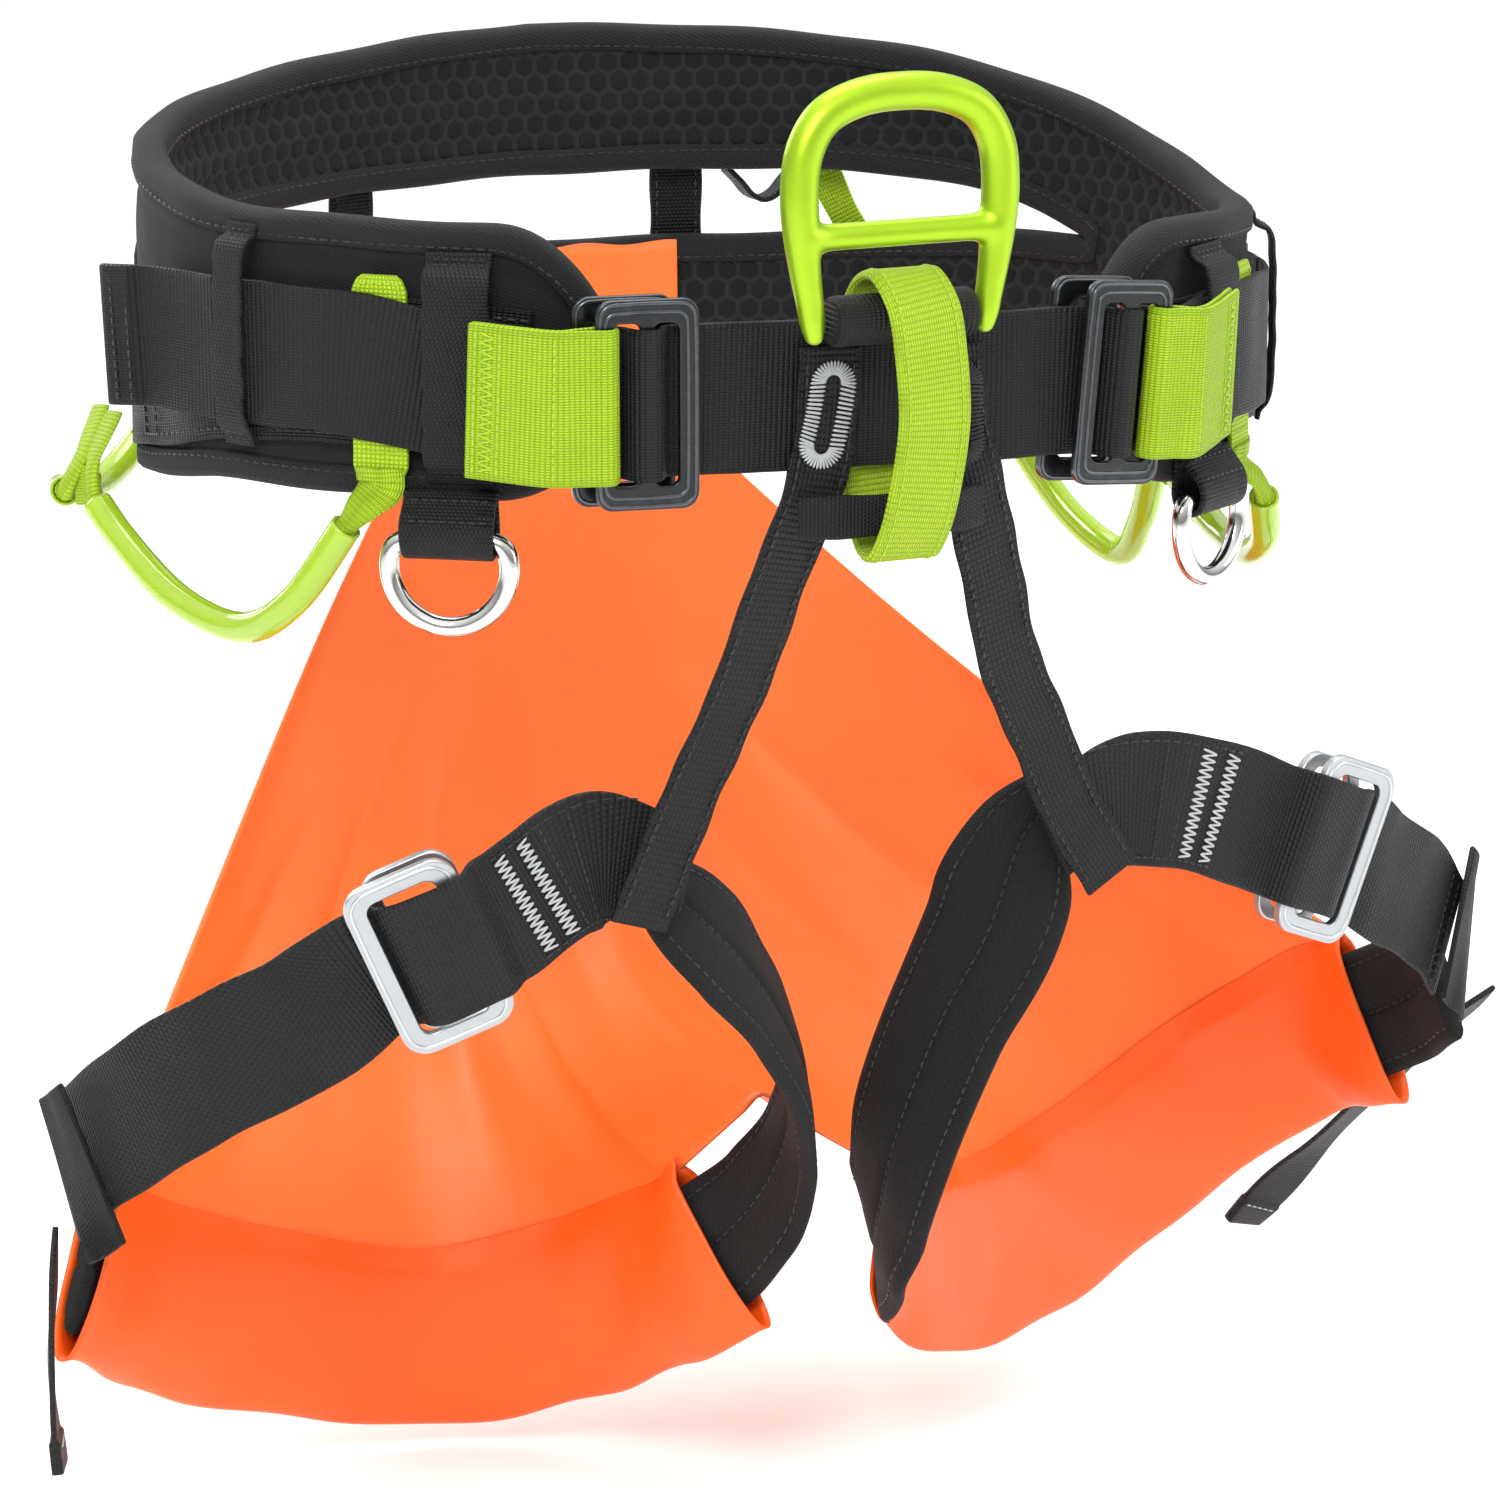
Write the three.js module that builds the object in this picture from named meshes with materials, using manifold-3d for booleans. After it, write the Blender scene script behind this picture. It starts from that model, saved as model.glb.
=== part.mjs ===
// Tree climbing saddle: padded waist belt, tie-in ring, belay loop, two leg loops and a seat sheet.
// Millimetres, +Z up. The origin is the middle of the waist opening at the height of the belt webbing.
// The front of the saddle faces -Y and +X is the viewer's right.
import * as THREE from "three";
import { mergeVertices } from "three/addons/utils/BufferGeometryUtils.js";
import Module from "manifold-3d";

const wasm = await Module();
wasm.setup();

// Driving sizes, mm and degrees.
const BELT = { halfWidth: 169.5, halfDepth: 126.5, frontPower: 2.2, rearPower: 2 };
const PAD = { thick: 9, edge: 2.6, leftEnd: 27, rightEnd: 25.5, endRound: 12 };
const WEBBING = { width: 45, thick: 2, riser: 20, riserThick: 1.6, belay: 23, belayThick: 3 };
const LAYER = { load: [9.3, 11.3], tab: [11.6, 12.8], tail: [13.2, 15.2], keeper: [16, 17.4] };
const CENTRE_X = -5;
const BAR = { y: -154.6, z: 24, radius: 7.5, halfLength: 23 };
const RING = { wire: 5.6, legWire: 4, crossbarZ: 48.5, crossbarWire: 4.2 };
const D_RING = { wire: 3, halfWidth: 18, offset: 15.4, barHeight: { left: -41, right: -46.5 } };
const BUCKLE = { width: 31, height: 62, thick: 2.6, slotHeight: 48, corner: 5 };
const LEG_BUCKLE = { width: 36, height: 59, thick: 3, slotHeight: 47, corner: 8 };
const TUBE = { radius: 4.75, bore: 3.6, core: 3.1 };
const LEG_PAD = { width: 44, thick: 7, taper: 8 };
const SLEEVE = { width: 60, thick: 11.5, holeWidth: 49, holeThick: 8.6 };
const SHEET_THICK = 1.3;

const COLOURS = {
  black: ["#26272a", 0.85, 0],
  mesh: ["#1c1d1f", 0.9, 0],
  lime: ["#a8dc10", 0.7, 0],
  orange: ["#ff642a", 0.45, 0],
  clear: ["#dfeee0", 0.2, 0],
  anodised: ["#b4e21e", 0.35, 0.6],
  steel: ["#c9cbcc", 0.15, 1],
  satin: ["#cfd2d3", 0.35, 0.9],
  plate: ["#2b2d30", 0.35, 0.8],
};

const saddle = new THREE.Group();

function addPart(name, geometry, colour) {
  const [color, roughness, metalness] = COLOURS[colour];
  const mesh = new THREE.Mesh(geometry, new THREE.MeshStandardMaterial({ color, roughness, metalness }));
  mesh.name = name;
  saddle.add(mesh);
  return mesh;
}

const vec = (x, y, z) => new THREE.Vector3(x, y, z);
const fromList = ([x, y, z]) => vec(x, y, z);

// ---- Solids from sections ----

// Builds an indexed geometry and turns its faces outwards.
function closedGeometry(points, triangles) {
  let volume = 0;
  for (const [a, b, c] of triangles) {
    volume += points[a].dot(points[b].clone().cross(points[c]));
  }
  const faces = volume < 0 ? triangles.map(([a, b, c]) => [a, c, b]) : triangles;
  const geometry = new THREE.BufferGeometry();
  geometry.setAttribute("position", new THREE.Float32BufferAttribute(points.flatMap((p) => p.toArray()), 3));
  geometry.setIndex(faces.flat());
  geometry.computeVertexNormals();
  return geometry;
}

// A frame carries a section: origin, u along the section's width and v along its thickness.
const place = (frame, [a, b]) =>
  frame.origin.clone().addScaledVector(frame.u, a).addScaledVector(frame.v, b);

function joinLoops(triangles, from, to, count) {
  for (let k = 0; k < count; k++) {
    const next = (k + 1) % count;
    triangles.push([from + k, from + next, to + next], [from + k, to + next, to + k]);
  }
}

// Sweeps a section along frames. profileAt(i) gives the section's points at frame i.
function sweep(frames, profileAt, closed = false) {
  const points = [];
  const triangles = [];
  const profiles = frames.map((frame, i) => profileAt(i));
  const count = profiles[0].length;
  frames.forEach((frame, i) => profiles[i].forEach((p) => points.push(place(frame, p))));
  const spans = closed ? frames.length : frames.length - 1;
  for (let i = 0; i < spans; i++) {
    joinLoops(triangles, i * count, ((i + 1) % frames.length) * count, count);
  }
  if (!closed) {
    const cap = (i, flip) => {
      const flat = profiles[i].map(([a, b]) => new THREE.Vector2(a, b));
      const turned = THREE.ShapeUtils.isClockWise(flat) !== flip;
      for (const [a, b, c] of THREE.ShapeUtils.triangulateShape(flat, [])) {
        const base = i * count;
        triangles.push(turned ? [base + a, base + b, base + c] : [base + a, base + c, base + b]);
      }
    };
    cap(0, false);
    cap(frames.length - 1, true);
  }
  return closedGeometry(points, fixWinding(points, triangles));
}

// Every edge of a closed surface is used once each way: caps whose turn disagrees are reversed.
function fixWinding(points, triangles) {
  const key = (a, b) => a * points.length + b;
  const seen = new Set([0]);
  const queue = [0];
  const flipped = new Set();
  const undirected = new Map();
  triangles.forEach((t, i) => {
    for (let k = 0; k < 3; k++) {
      const [a, b] = [t[k], t[(k + 1) % 3]];
      const e = key(Math.min(a, b), Math.max(a, b));
      if (!undirected.has(e)) undirected.set(e, []);
      undirected.get(e).push([i, a < b]);
    }
  });
  while (queue.length) {
    const i = queue.pop();
    for (let k = 0; k < 3; k++) {
      const [a, b] = [triangles[i][k], triangles[i][(k + 1) % 3]];
      const forward = a < b;
      for (const [j, other] of undirected.get(key(Math.min(a, b), Math.max(a, b)))) {
        if (seen.has(j)) continue;
        seen.add(j);
        if ((forward === other) !== flipped.has(i)) flipped.add(j);
        queue.push(j);
      }
    }
  }
  return triangles.map(([a, b, c], i) => (flipped.has(i) ? [a, c, b] : [a, b, c]));
}

// Sweeps a section that has a hole through it, open at both ends.
function sweepTube(frames, outer, inner) {
  const points = [];
  const triangles = [];
  const both = [...outer, ...inner];
  frames.forEach((frame) => both.forEach((p) => points.push(place(frame, p))));
  for (let i = 0; i + 1 < frames.length; i++) {
    joinLoops(triangles, i * both.length, (i + 1) * both.length, outer.length);
    joinLoops(triangles, i * both.length + outer.length, (i + 1) * both.length + outer.length, inner.length);
  }
  const flat = (list) => list.map(([a, b]) => new THREE.Vector2(a, b));
  const faces = THREE.ShapeUtils.triangulateShape(flat(outer), [flat(inner)]);
  for (const i of [0, frames.length - 1]) {
    for (const face of faces) triangles.push(face.map((k) => k + i * both.length));
  }
  return closedGeometry(points, fixWinding(points, triangles));
}

const rectangle = (width, thick) => [
  [-width / 2, -thick / 2],
  [width / 2, -thick / 2],
  [width / 2, thick / 2],
  [-width / 2, thick / 2],
];

// A flat tube's outline with its long sides eased, for padded bands and sleeves.
function softRectangle(width, thick, ease) {
  const [w, t] = [width / 2, thick / 2];
  return [
    [-w, -t + ease], [-w + ease, -t], [w - ease, -t], [w, -t + ease],
    [w, t - ease], [w - ease, t], [-w + ease, t], [-w, t - ease],
  ];
}

const circle = (radius, sides) =>
  Array.from({ length: sides }, (_, k) => {
    const a = (2 * Math.PI * (k + 0.5)) / sides;
    return [radius * Math.cos(a), radius * Math.sin(a)];
  });

// Frames along a smooth line through the points. u is the across direction turned square to the line.
function lineFrames(points, across, steps, closed = false) {
  const line = new THREE.CatmullRomCurve3(points, closed, "centripetal");
  const last = closed ? across.length : across.length - 1;
  const turnAt = (t) => {
    const k = Math.min(Math.floor(t * last), last - 1);
    const next = across[(k + 1) % across.length];
    return across[k].clone().lerp(next, THREE.MathUtils.smoothstep(t * last - k, 0, 1));
  };
  const count = closed ? steps : steps + 1;
  return Array.from({ length: count }, (_, i) => {
    const t = i / steps;
    const tangent = line.getTangent(t);
    const u = turnAt(t);
    u.addScaledVector(tangent, -u.dot(tangent)).normalize();
    return { origin: line.getPoint(t), u, v: tangent.clone().cross(u) };
  });
}

// A webbing band. Each point is [x, y, z] or [x, y, z, ux, uy, uz] with its own across direction.
function bandFrames(rows, steps, closed = false, defaultAcross = [0, 0, 1]) {
  const points = rows.map((row) => fromList(row));
  const across = rows.map((row) => fromList(row.length > 3 ? row.slice(3) : defaultAcross));
  return lineFrames(points, across, steps, closed);
}

const band = (rows, width, thick, steps, closed = false, across = [0, 0, 1]) =>
  sweep(bandFrames(rows, steps, closed, across), () => rectangle(width, thick), closed);

// ---- Booleans ----

function toSolid(geometry) {
  const bare = geometry.clone();
  bare.deleteAttribute("normal");
  bare.deleteAttribute("uv");
  const merged = mergeVertices(bare, 1e-4);
  return new wasm.Manifold(
    new wasm.Mesh({
      numProp: 3,
      vertProperties: merged.attributes.position.array,
      triVerts: new Uint32Array(merged.index.array),
    }),
  );
}

function toGeometry(solid) {
  const mesh = solid.getMesh();
  const geometry = new THREE.BufferGeometry();
  geometry.setAttribute("position", new THREE.BufferAttribute(mesh.vertProperties, 3));
  geometry.setIndex(new THREE.BufferAttribute(mesh.triVerts, 1));
  geometry.computeVertexNormals();
  return geometry;
}

// ---- The belt's shape ----

// Smooth curve through rows of [where, value], clamped at both ends.
function smoothTable(rows, where) {
  const last = rows.length - 1;
  if (where <= rows[0][0]) return rows[0][1];
  if (where >= rows[last][0]) return rows[last][1];
  const i = rows.findIndex((row, k) => k < last && where < rows[k + 1][0]);
  const slope = (k) => {
    const [a, b] = [rows[Math.max(k - 1, 0)], rows[Math.min(k + 1, last)]];
    return (b[1] - a[1]) / (b[0] - a[0]);
  };
  const [x0, y0] = rows[i];
  const [x1, y1] = rows[i + 1];
  const span = x1 - x0;
  const t = (where - x0) / span;
  const [t2, t3] = [t * t, t * t * t];
  return (
    (2 * t3 - 3 * t2 + 1) * y0 + (t3 - 2 * t2 + t) * span * slope(i) +
    (3 * t2 - 2 * t3) * y1 + (t3 - t2) * span * slope(i + 1)
  );
}

// Heights by how far round from the front middle, 0 to 180 degrees.
const PAD_TOP = [[24, 39], [34, 43], [45, 43], [75, 44], [90, 49], [110, 58], [135, 67], [160, 73],
  [180, 76]];
const PAD_BOTTOM = [[24, -33], [45, -36], [75, -37], [95, -42], [135, -46], [180, -48]];
const LENS_TOP = [[108, 15], [118, 22], [130, 26], [150, 28], [180, 29]];
const LENS_BOTTOM = [[108, 15], [118, 12], [130, 8], [150, 4], [180, 4]];
const LOAD_HEIGHT = [[30, -2], [50, 0], [70, -2], [90, -10], [135, -20], [180, -22]];
// The belt hangs a little lower on its right side. Angles run from +X through the rear.
const DROOP = [[-90, 0], [-45, -7], [-20, -11], [0, -12], [45, -1], [90, 0], [135, 0], [180, 6], [225, 7],
  [250, 2],
  [270, 0]];

const radians = (degrees) => (degrees * Math.PI) / 180;
const aroundFront = (theta) => Math.abs(((theta + 90 + 540) % 360) - 180);
const droop = (theta) => smoothTable(DROOP, theta > 270 ? theta - 360 : theta);
const heightAt = (table, theta) => smoothTable(table, aroundFront(theta)) + droop(theta);

// A point outside the belt's inner line by offset, with the outward direction there.
function beltFrame(theta, offset = 0, z = 0) {
  const [c, s] = [Math.cos(radians(theta)), Math.sin(radians(theta))];
  const power = s < 0 ? BELT.frontPower : BELT.rearPower;
  const scale = (Math.abs(c) ** power + Math.abs(s) ** power) ** (-1 / power);
  const [x, y] = [BELT.halfWidth * c * scale, BELT.halfDepth * s * scale];
  const steep = (value, half) => (Math.sign(value) * Math.abs(value / half) ** (power - 1)) / half;
  const out = vec(steep(x, BELT.halfWidth), steep(y, BELT.halfDepth), 0).normalize();
  return { origin: vec(x, y, z).addScaledVector(out, offset), u: vec(0, 0, 1), v: out };
}

const beltAngle = (side, around) => 270 + side * around;

function angles(from, to, steps) {
  return Array.from({ length: steps + 1 }, (_, i) => from + ((to - from) * i) / steps);
}

// A piece that follows the belt: profileAt(theta) gives its section as [height, offset] points.
function beltPiece(from, to, steps, profileAt) {
  const list = angles(from, to, steps);
  return sweep(list.map((theta) => beltFrame(theta)), (i) => profileAt(list[i]));
}

const strip = (centre, width, [inner, outer]) => [
  [centre - width / 2, inner],
  [centre + width / 2, inner],
  [centre + width / 2, outer],
  [centre - width / 2, outer],
];

const beltPoint = (theta, offset, z) => beltFrame(theta, offset, z).origin.toArray();

// ---- Waist ----

// The pad's ends are rounded: its height shrinks over the last few degrees.
function padProfile(theta, start, end) {
  const left = theta - start;
  const right = end - theta;
  const nearest = Math.max(Math.min(left, right), 0.5);
  const share = nearest >= PAD.endRound ? 1 : Math.sqrt(1 - (1 - nearest / PAD.endRound) ** 2);
  const [top, bottom] = [heightAt(PAD_TOP, theta), heightAt(PAD_BOTTOM, theta)];
  const middle = (top + bottom) / 2;
  const half = ((top - bottom) / 2) * share;
  const [e, t] = [PAD.edge, PAD.thick];
  return [
    [middle - half + e, 0], [middle + half - e, 0], [middle + half, e], [middle + half, t - e],
    [middle + half - e, t], [middle - half + e, t], [middle - half, t - e], [middle - half, e],
  ];
}

function waistPad() {
  const start = beltAngle(1, PAD.rightEnd) - 360;
  const end = beltAngle(-1, PAD.leftEnd);
  const whole = beltPiece(start, end, 66, (theta) => padProfile(theta, start, end));
  const lens = beltPiece(18, 162, 30, (theta) => {
    const [low, high] = [heightAt(LENS_BOTTOM, theta), heightAt(LENS_TOP, theta)];
    return strip((low + high) / 2, Math.max(high - low, 0.4), [-4, PAD.thick + 4]);
  });
  return toGeometry(toSolid(whole).subtract(toSolid(lens)));
}

function loadWebbing() {
  return beltPiece(-57, 234, 54, (theta) => strip(heightAt(LOAD_HEIGHT, theta), WEBBING.width, LAYER.load));
}

// The two short straps that cross the opening at the rear, outside the pad.
function rearStrap(theta) {
  const halfAngle = 4.1;
  return beltPiece(theta - halfAngle, theta + halfAngle, 3, () => strip(19.2, 33.4, LAYER.load));
}

// A small black loop for a haul line, sewn under the upper band.
function haulLoop() {
  const height = [26, 22, 17.5, 16, 17.5, 22, 26];
  const rows = height.map((z, i) => beltPoint(67.2 - i * 1.3, 10.6, z));
  return band(rows, 6, 2, 12, false, [0, 1, 0]);
}

// Keepers are bands across the strap tail, with feet that stand on the pad or on the webbing below.
function keeper(side, from, to, bottom, top, [topFoot, bottomFoot]) {
  const [inner, outer] = LAYER.keeper;
  const wall = 1.4;
  return beltPiece(beltAngle(side, from), beltAngle(side, to), 3, (theta) => {
    const [low, high] = [bottom + droop(theta), top + droop(theta)];
    return [
      [low, outer], [low, bottomFoot], [low + wall, bottomFoot], [low + wall, inner],
      [high - wall, inner], [high - wall, topFoot], [high, topFoot], [high, outer],
    ];
  });
}

// The front keeper reaches below the belt webbing on the left, where the tail runs lower.
const frontKeeper = (side) =>
  (side < 0 ? keeper(side, 39.2, 45.7, -30, 35, [9.3, 9.3]) : keeper(side, 39.2, 45.7, -24, 35, [9.3, 11.6]));

// ---- Buckles ----

// A buckle's own directions: out away from the middle along the strap, up its height, face off the body.
function buckleFrame(origin, out, up) {
  const along = fromList(out).normalize();
  const face = fromList(up).cross(along).normalize();
  if (face.y > 0) face.negate();
  const high = along.clone().cross(face).normalize();
  if (high.z < 0) high.negate();
  return { origin: fromList(origin), out: along, up: high, face };
}

const inBuckle = (b, s, v, h = 0) =>
  b.origin.clone().addScaledVector(b.out, s).addScaledVector(b.face, v).addScaledVector(b.up, h);

const BELT_BUCKLES = {
  left: buckleFrame([-80, -141, 1], [-0.985, 0.174, 0], [0.01, 0, 1]),
  right: buckleFrame([76, -141, -4], [0.99, 0.139, -0.09], [0.09, 0, 1]),
};
const LEG_BUCKLES = {
  left: buckleFrame([-131, -94, -170], [-0.863, 0.317, -0.393], [-0.426, -0.04, 0.904]),
  right: buckleFrame([183, -88, -171], [0.875, 0.328, -0.356], [0.3, 0, 0.95]),
};

function roundedOutline(width, height, corner) {
  const shape = new THREE.Shape();
  const [w, h] = [width / 2, height / 2];
  shape.moveTo(-w + corner, -h);
  shape.lineTo(w - corner, -h);
  shape.absarc(w - corner, -h + corner, corner, -Math.PI / 2, 0);
  shape.lineTo(w, h - corner);
  shape.absarc(w - corner, h - corner, corner, 0, Math.PI / 2);
  shape.lineTo(-w + corner, h);
  shape.absarc(-w + corner, h - corner, corner, Math.PI / 2, Math.PI);
  shape.lineTo(-w, -h + corner);
  shape.absarc(-w + corner, -h + corner, corner, Math.PI, 1.5 * Math.PI);
  return shape;
}

// A plate in the buckle's own directions, with slots given as [from, to] along the strap.
function plate(b, size, slots, shift, depth) {
  const blank = new THREE.ExtrudeGeometry(roundedOutline(size.width, size.height, size.corner),
    { depth: size.thick, bevelEnabled: false, curveSegments: 3 });
  blank.translate(0, 0, -size.thick / 2);
  let solid = toSolid(blank);
  for (const [from, to] of slots) {
    const hole = new THREE.BoxGeometry(to - from, size.slotHeight, size.thick * 3);
    hole.translate((from + to) / 2, 0, 0);
    solid = solid.subtract(toSolid(hole));
  }
  const cut = toGeometry(solid);
  cut.translate(shift, 0, depth);
  cut.applyMatrix4(new THREE.Matrix4().makeBasis(b.out, b.up, b.face).setPosition(b.origin));
  const position = cut.attributes.position;
  const points = Array.from({ length: position.count }, (_, i) => vec().fromBufferAttribute(position, i));
  const index = Array.from(cut.index.array);
  const triangles = Array.from({ length: index.length / 3 }, (_, i) => index.slice(3 * i, 3 * i + 3));
  return closedGeometry(points, triangles);
}

const beltFrontPlate = (b) => plate(b, BUCKLE, [[-9.5, -2], [2, 10.6]], 0, 0);
const beltBackPlate = (b, shift) => plate(b, BUCKLE, [[-9.5, 9.5]], shift, -8.6);
const legFramePlate = (b) => plate(b, LEG_BUCKLE, [[-11, 11.4]], 0, 0);
const legBackPlate = (b) => plate(b, { ...LEG_BUCKLE, height: 56, width: 30 }, [[-9, 9]], -3, -9.6);

// How a strap climbs through a buckle: distance along the strap, distance off the plate's middle.
const HUMP = [[-9.5, -5.2], [-6.6, -4.6], [-4.9, -1.4], [-2.9, 2.3], [0, 3.5], [2.9, 2.3], [4.9, -1.4],
  [6.2, -4.6],
  [8.6, -6]];

// In the leg buckle the strap comes up through the slot and lies over the inner bar.
const LEG_HUMP = [[-27, -4.6], [-22.6, -3.2], [-20.6, -0.2], [-18.2, 2.9], [-13, 3.7], [-4, 3.8],
  [3.6, 3.2], [8, 0.4],
  [9.8, -2.6], [13, -4.6], [19, -5]];

const humpRows = (b, list) =>
  list.map(([s, v]) => [...inBuckle(b, s, v).toArray(), ...b.up.toArray()]);

// One length of webbing from buckle to buckle across the front.
function frontStrap() {
  const left = humpRows(BELT_BUCKLES.left, [[11.5, -6.2], ...HUMP.slice().reverse(), [-18, -4.8]]);
  const right = humpRows(BELT_BUCKLES.right, [[-18, -4.8], ...HUMP, [11.5, -6.2]]);
  const middle = [[-32, -140, 0], [-3, -140, -0.5], [26, -140, -2, 0.04, 0, 1]];
  return band([...left, ...middle, ...right], WEBBING.width, WEBBING.thick, 66);
}

// The tail runs back from the buckle under the keepers and stops past the rear one.
function strapTail(side, b) {
  const rows = humpRows(b, [[12, -6.1], [17, -6], [22, -6.1]]);
  const start = rows[rows.length - 1][2];
  for (const [around, offset] of [[37.2, 15.6], [39.8, 14.2], [46, 14.2], [54, 14.2], [63, 14.2],
    [70.5, 14.2]]) {
    const theta = beltAngle(side, around);
    const climb = THREE.MathUtils.smoothstep(around, 32, 58);
    rows.push(beltPoint(theta, offset, THREE.MathUtils.lerp(start, 3 + droop(theta), climb)));
  }
  return band(rows, WEBBING.width - 2, WEBBING.thick, 22);
}

const TAIL_END_START = 71.9;

function tailEnd(side) {
  const start = TAIL_END_START;
  const rows = [start, start + 6, start + 12].map((around, i) => {
    const theta = beltAngle(side, around);
    return beltPoint(theta, 14.2 + [0, 0.4, 3][i], 3 + droop(theta));
  });
  const last = rows[rows.length - 1];
  rows.push([last[0] + side * 9, last[1] + 15, last[2] - 1]);
  return band(rows, WEBBING.width - 2, WEBBING.thick, 8);
}

// The pull tab is a folded band round the buckle's outer bar.
function pullTab(side, b) {
  const bar = 13;
  const fold = [-120, -90, -60, 0, 60, 90, 120].map((a) => {
    const [s, v] = [bar - 3.9 * Math.cos(radians(a)), -3.9 * Math.sin(radians(a))];
    return [...inBuckle(b, s, v).toArray(), ...b.up.toArray()];
  });
  const middle = inBuckle(b, 27, 0.9);
  const tip = vec(...beltPoint(beltAngle(side, 40.9), 21.4, b.origin.z + side * -1));
  const lift = tip.clone().sub(middle).cross(b.up).normalize();
  if (lift.dot(b.face) < 0) lift.negate();
  const layer = (off) => [
    [...inBuckle(b, 20, off < 0 ? -2 : 2.6).toArray(), ...b.up.toArray()],
    [...middle.clone().addScaledVector(lift, off).toArray(), ...b.up.toArray()],
    [...tip.clone().addScaledVector(lift, off).toArray(), ...b.up.toArray()],
  ];
  return band([...layer(1.25).reverse(), ...fold, ...layer(-1.25)], WEBBING.width + 1, 1.7, 32);
}

// ---- Side rings ----

const HANGER_AT = { left: 43.3, right: 41 };

function hangerFrame(side, name) {
  const frame = beltFrame(beltAngle(side, HANGER_AT[name]), 0, D_RING.barHeight[name]);
  return { origin: frame.origin, along: frame.v.clone().cross(vec(0, 0, 1)), out: frame.v };
}

const inHanger = (h, s, out, z) =>
  h.origin.clone().addScaledVector(h.along, s).addScaledVector(h.out, out).add(vec(0, 0, z));

// Webbing folded round the ring's bar, both ends sewn to the belt.
function ringHanger(side, name) {
  const h = hangerFrame(side, name);
  const radius = 4.9;
  const turn = [180, 225, 270, 315, 360].map((a) => [
    D_RING.offset + radius * Math.cos(radians(a)),
    radius * Math.sin(radians(a)),
  ]);
  const path = [[10.7, 14], [10.7, 9], [10.55, 4.5], ...turn, [19.6, 4.5], [16.2, 9], [13.1, 13]];
  const rows = path.map(([out, z]) => inHanger(h, 0, out, z).toArray());
  return band(rows, 28, WEBBING.thick, 24, false, h.along.toArray());
}

function sideRing(side, name) {
  const h = hangerFrame(side, name);
  const w = D_RING.halfWidth;
  const flat = [[-w + 6, 0], [-4, 0], [4, 0], [w - 6, 0], [w - 1.6, -2], [w, -7]];
  for (const a of [-20, -45, -70, -90, -110, -135, -160]) {
    flat.push([w * Math.cos(radians(a)), -8 + w * Math.sin(radians(a))]);
  }
  flat.push([-w, -7], [-w + 1.6, -2]);
  const rows = flat.map(([s, z]) => inHanger(h, s, D_RING.offset, z).toArray());
  const frames = bandFrames(rows, 26, true, h.out.toArray());
  return sweep(frames, () => circle(D_RING.wire, 6), true);
}

// ---- Gear loops ----

// Each loop's line, from its front end to its rear end.
const GEAR_LOOPS = {
  left_front: [[-154, -90, -38], [-165, -75, -62], [-172, -52, -74], [-182, -22, -70], [-190, 6, -55],
    [-193, 17, -47]],
  left_rear: [[-196, 38, -46], [-189, 62, -50], [-178, 84, -56], [-160, 106, -58], [-136, 127, -44],
    [-122, 137, -20]],
  right_front: [[154, -90, -54], [163, -75, -70], [170, -52, -80], [177, -22, -80], [181, 6, -73],
    [182, 17, -68]],
  right_rear: [[184, 38, -70], [188, 54, -90], [190, 72, -104], [180, 88, -94], [166, 106, -66],
    [150, 121, -30]],
};

const gearFrames = (rows) => bandFrames(rows, 10, false, [0.3, 0.3, 1]);

const gearTube = (rows) => sweepTube(gearFrames(rows), circle(TUBE.radius, 8), circle(TUBE.bore, 6));

function gearCore(rows) {
  return sweep(gearFrames(rows), () => softRectangle(2 * TUBE.core - 0.4, 2.6, 0.8));
}

// Front tab: lime webbing sewn down the belt, seen above and below the strap tail.
function frontGearTab(side) {
  const at = beltAngle(side, 50.6);
  return beltPiece(at - 3.8, at + 3.8, 3, (theta) => strip(1.5 + droop(theta), 69, LAYER.tab));
}

// Side tab: joins the front and rear loops at the pad's lower edge.
function sideGearTab(side, z) {
  const x = side < 0 ? -191.5 : 180.5;
  const rows = [[x, 22, z], [x + side, 28, z + 1], [x + side * 2, 34, z]];
  return band(rows, 12, 2.2, 6);
}

// Rear tab: slants down from under the upper band across the opening.
function rearGearTab(side) {
  const rows = [[57, 31], [54.5, 14], [51, -4], [48, -18]].map(([angle, z]) => {
    const frame = beltFrame(side > 0 ? angle : 180 - angle, 13.4, z);
    return [...frame.origin.toArray(), ...frame.v.clone().cross(frame.u).toArray()];
  });
  return band(rows, 10, 1.4, 9);
}

// ---- Tie-in point ----

// A D of forged rod on two legs, with a bar across it.
function tieInRing() {
  const half = [[27.5, 17], [28.6, 26], [30.6, 38], [32, 50], [32.6, 62], [31, 74], [25, 83.5],
    [14, 88.6], [0, 90]];
  const rows = [...half.map(([x, z]) => [-x, z]).slice(0, -1), ...half.slice().reverse()];
  const points = rows.map(([x, z]) => [CENTRE_X + x, BAR.y, z]);
  const frames = bandFrames(points, 36, false, [0, 1, 0]);
  const hoop = sweep(frames, (i) => {
    const height = frames[i].origin.z;
    const grow = THREE.MathUtils.smoothstep(height, 20, 60);
    return circle(RING.legWire + (RING.wire - RING.legWire) * grow, 8);
  });
  const reach = 31;
  const crossbar = sweep(
    bandFrames([-reach, 0, reach].map((x) => [CENTRE_X + x, BAR.y, RING.crossbarZ]), 2, false, [0, 1, 0]),
    () => circle(RING.crossbarWire, 8));
  return toGeometry(toSolid(hoop).add(toSolid(crossbar)));
}

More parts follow.
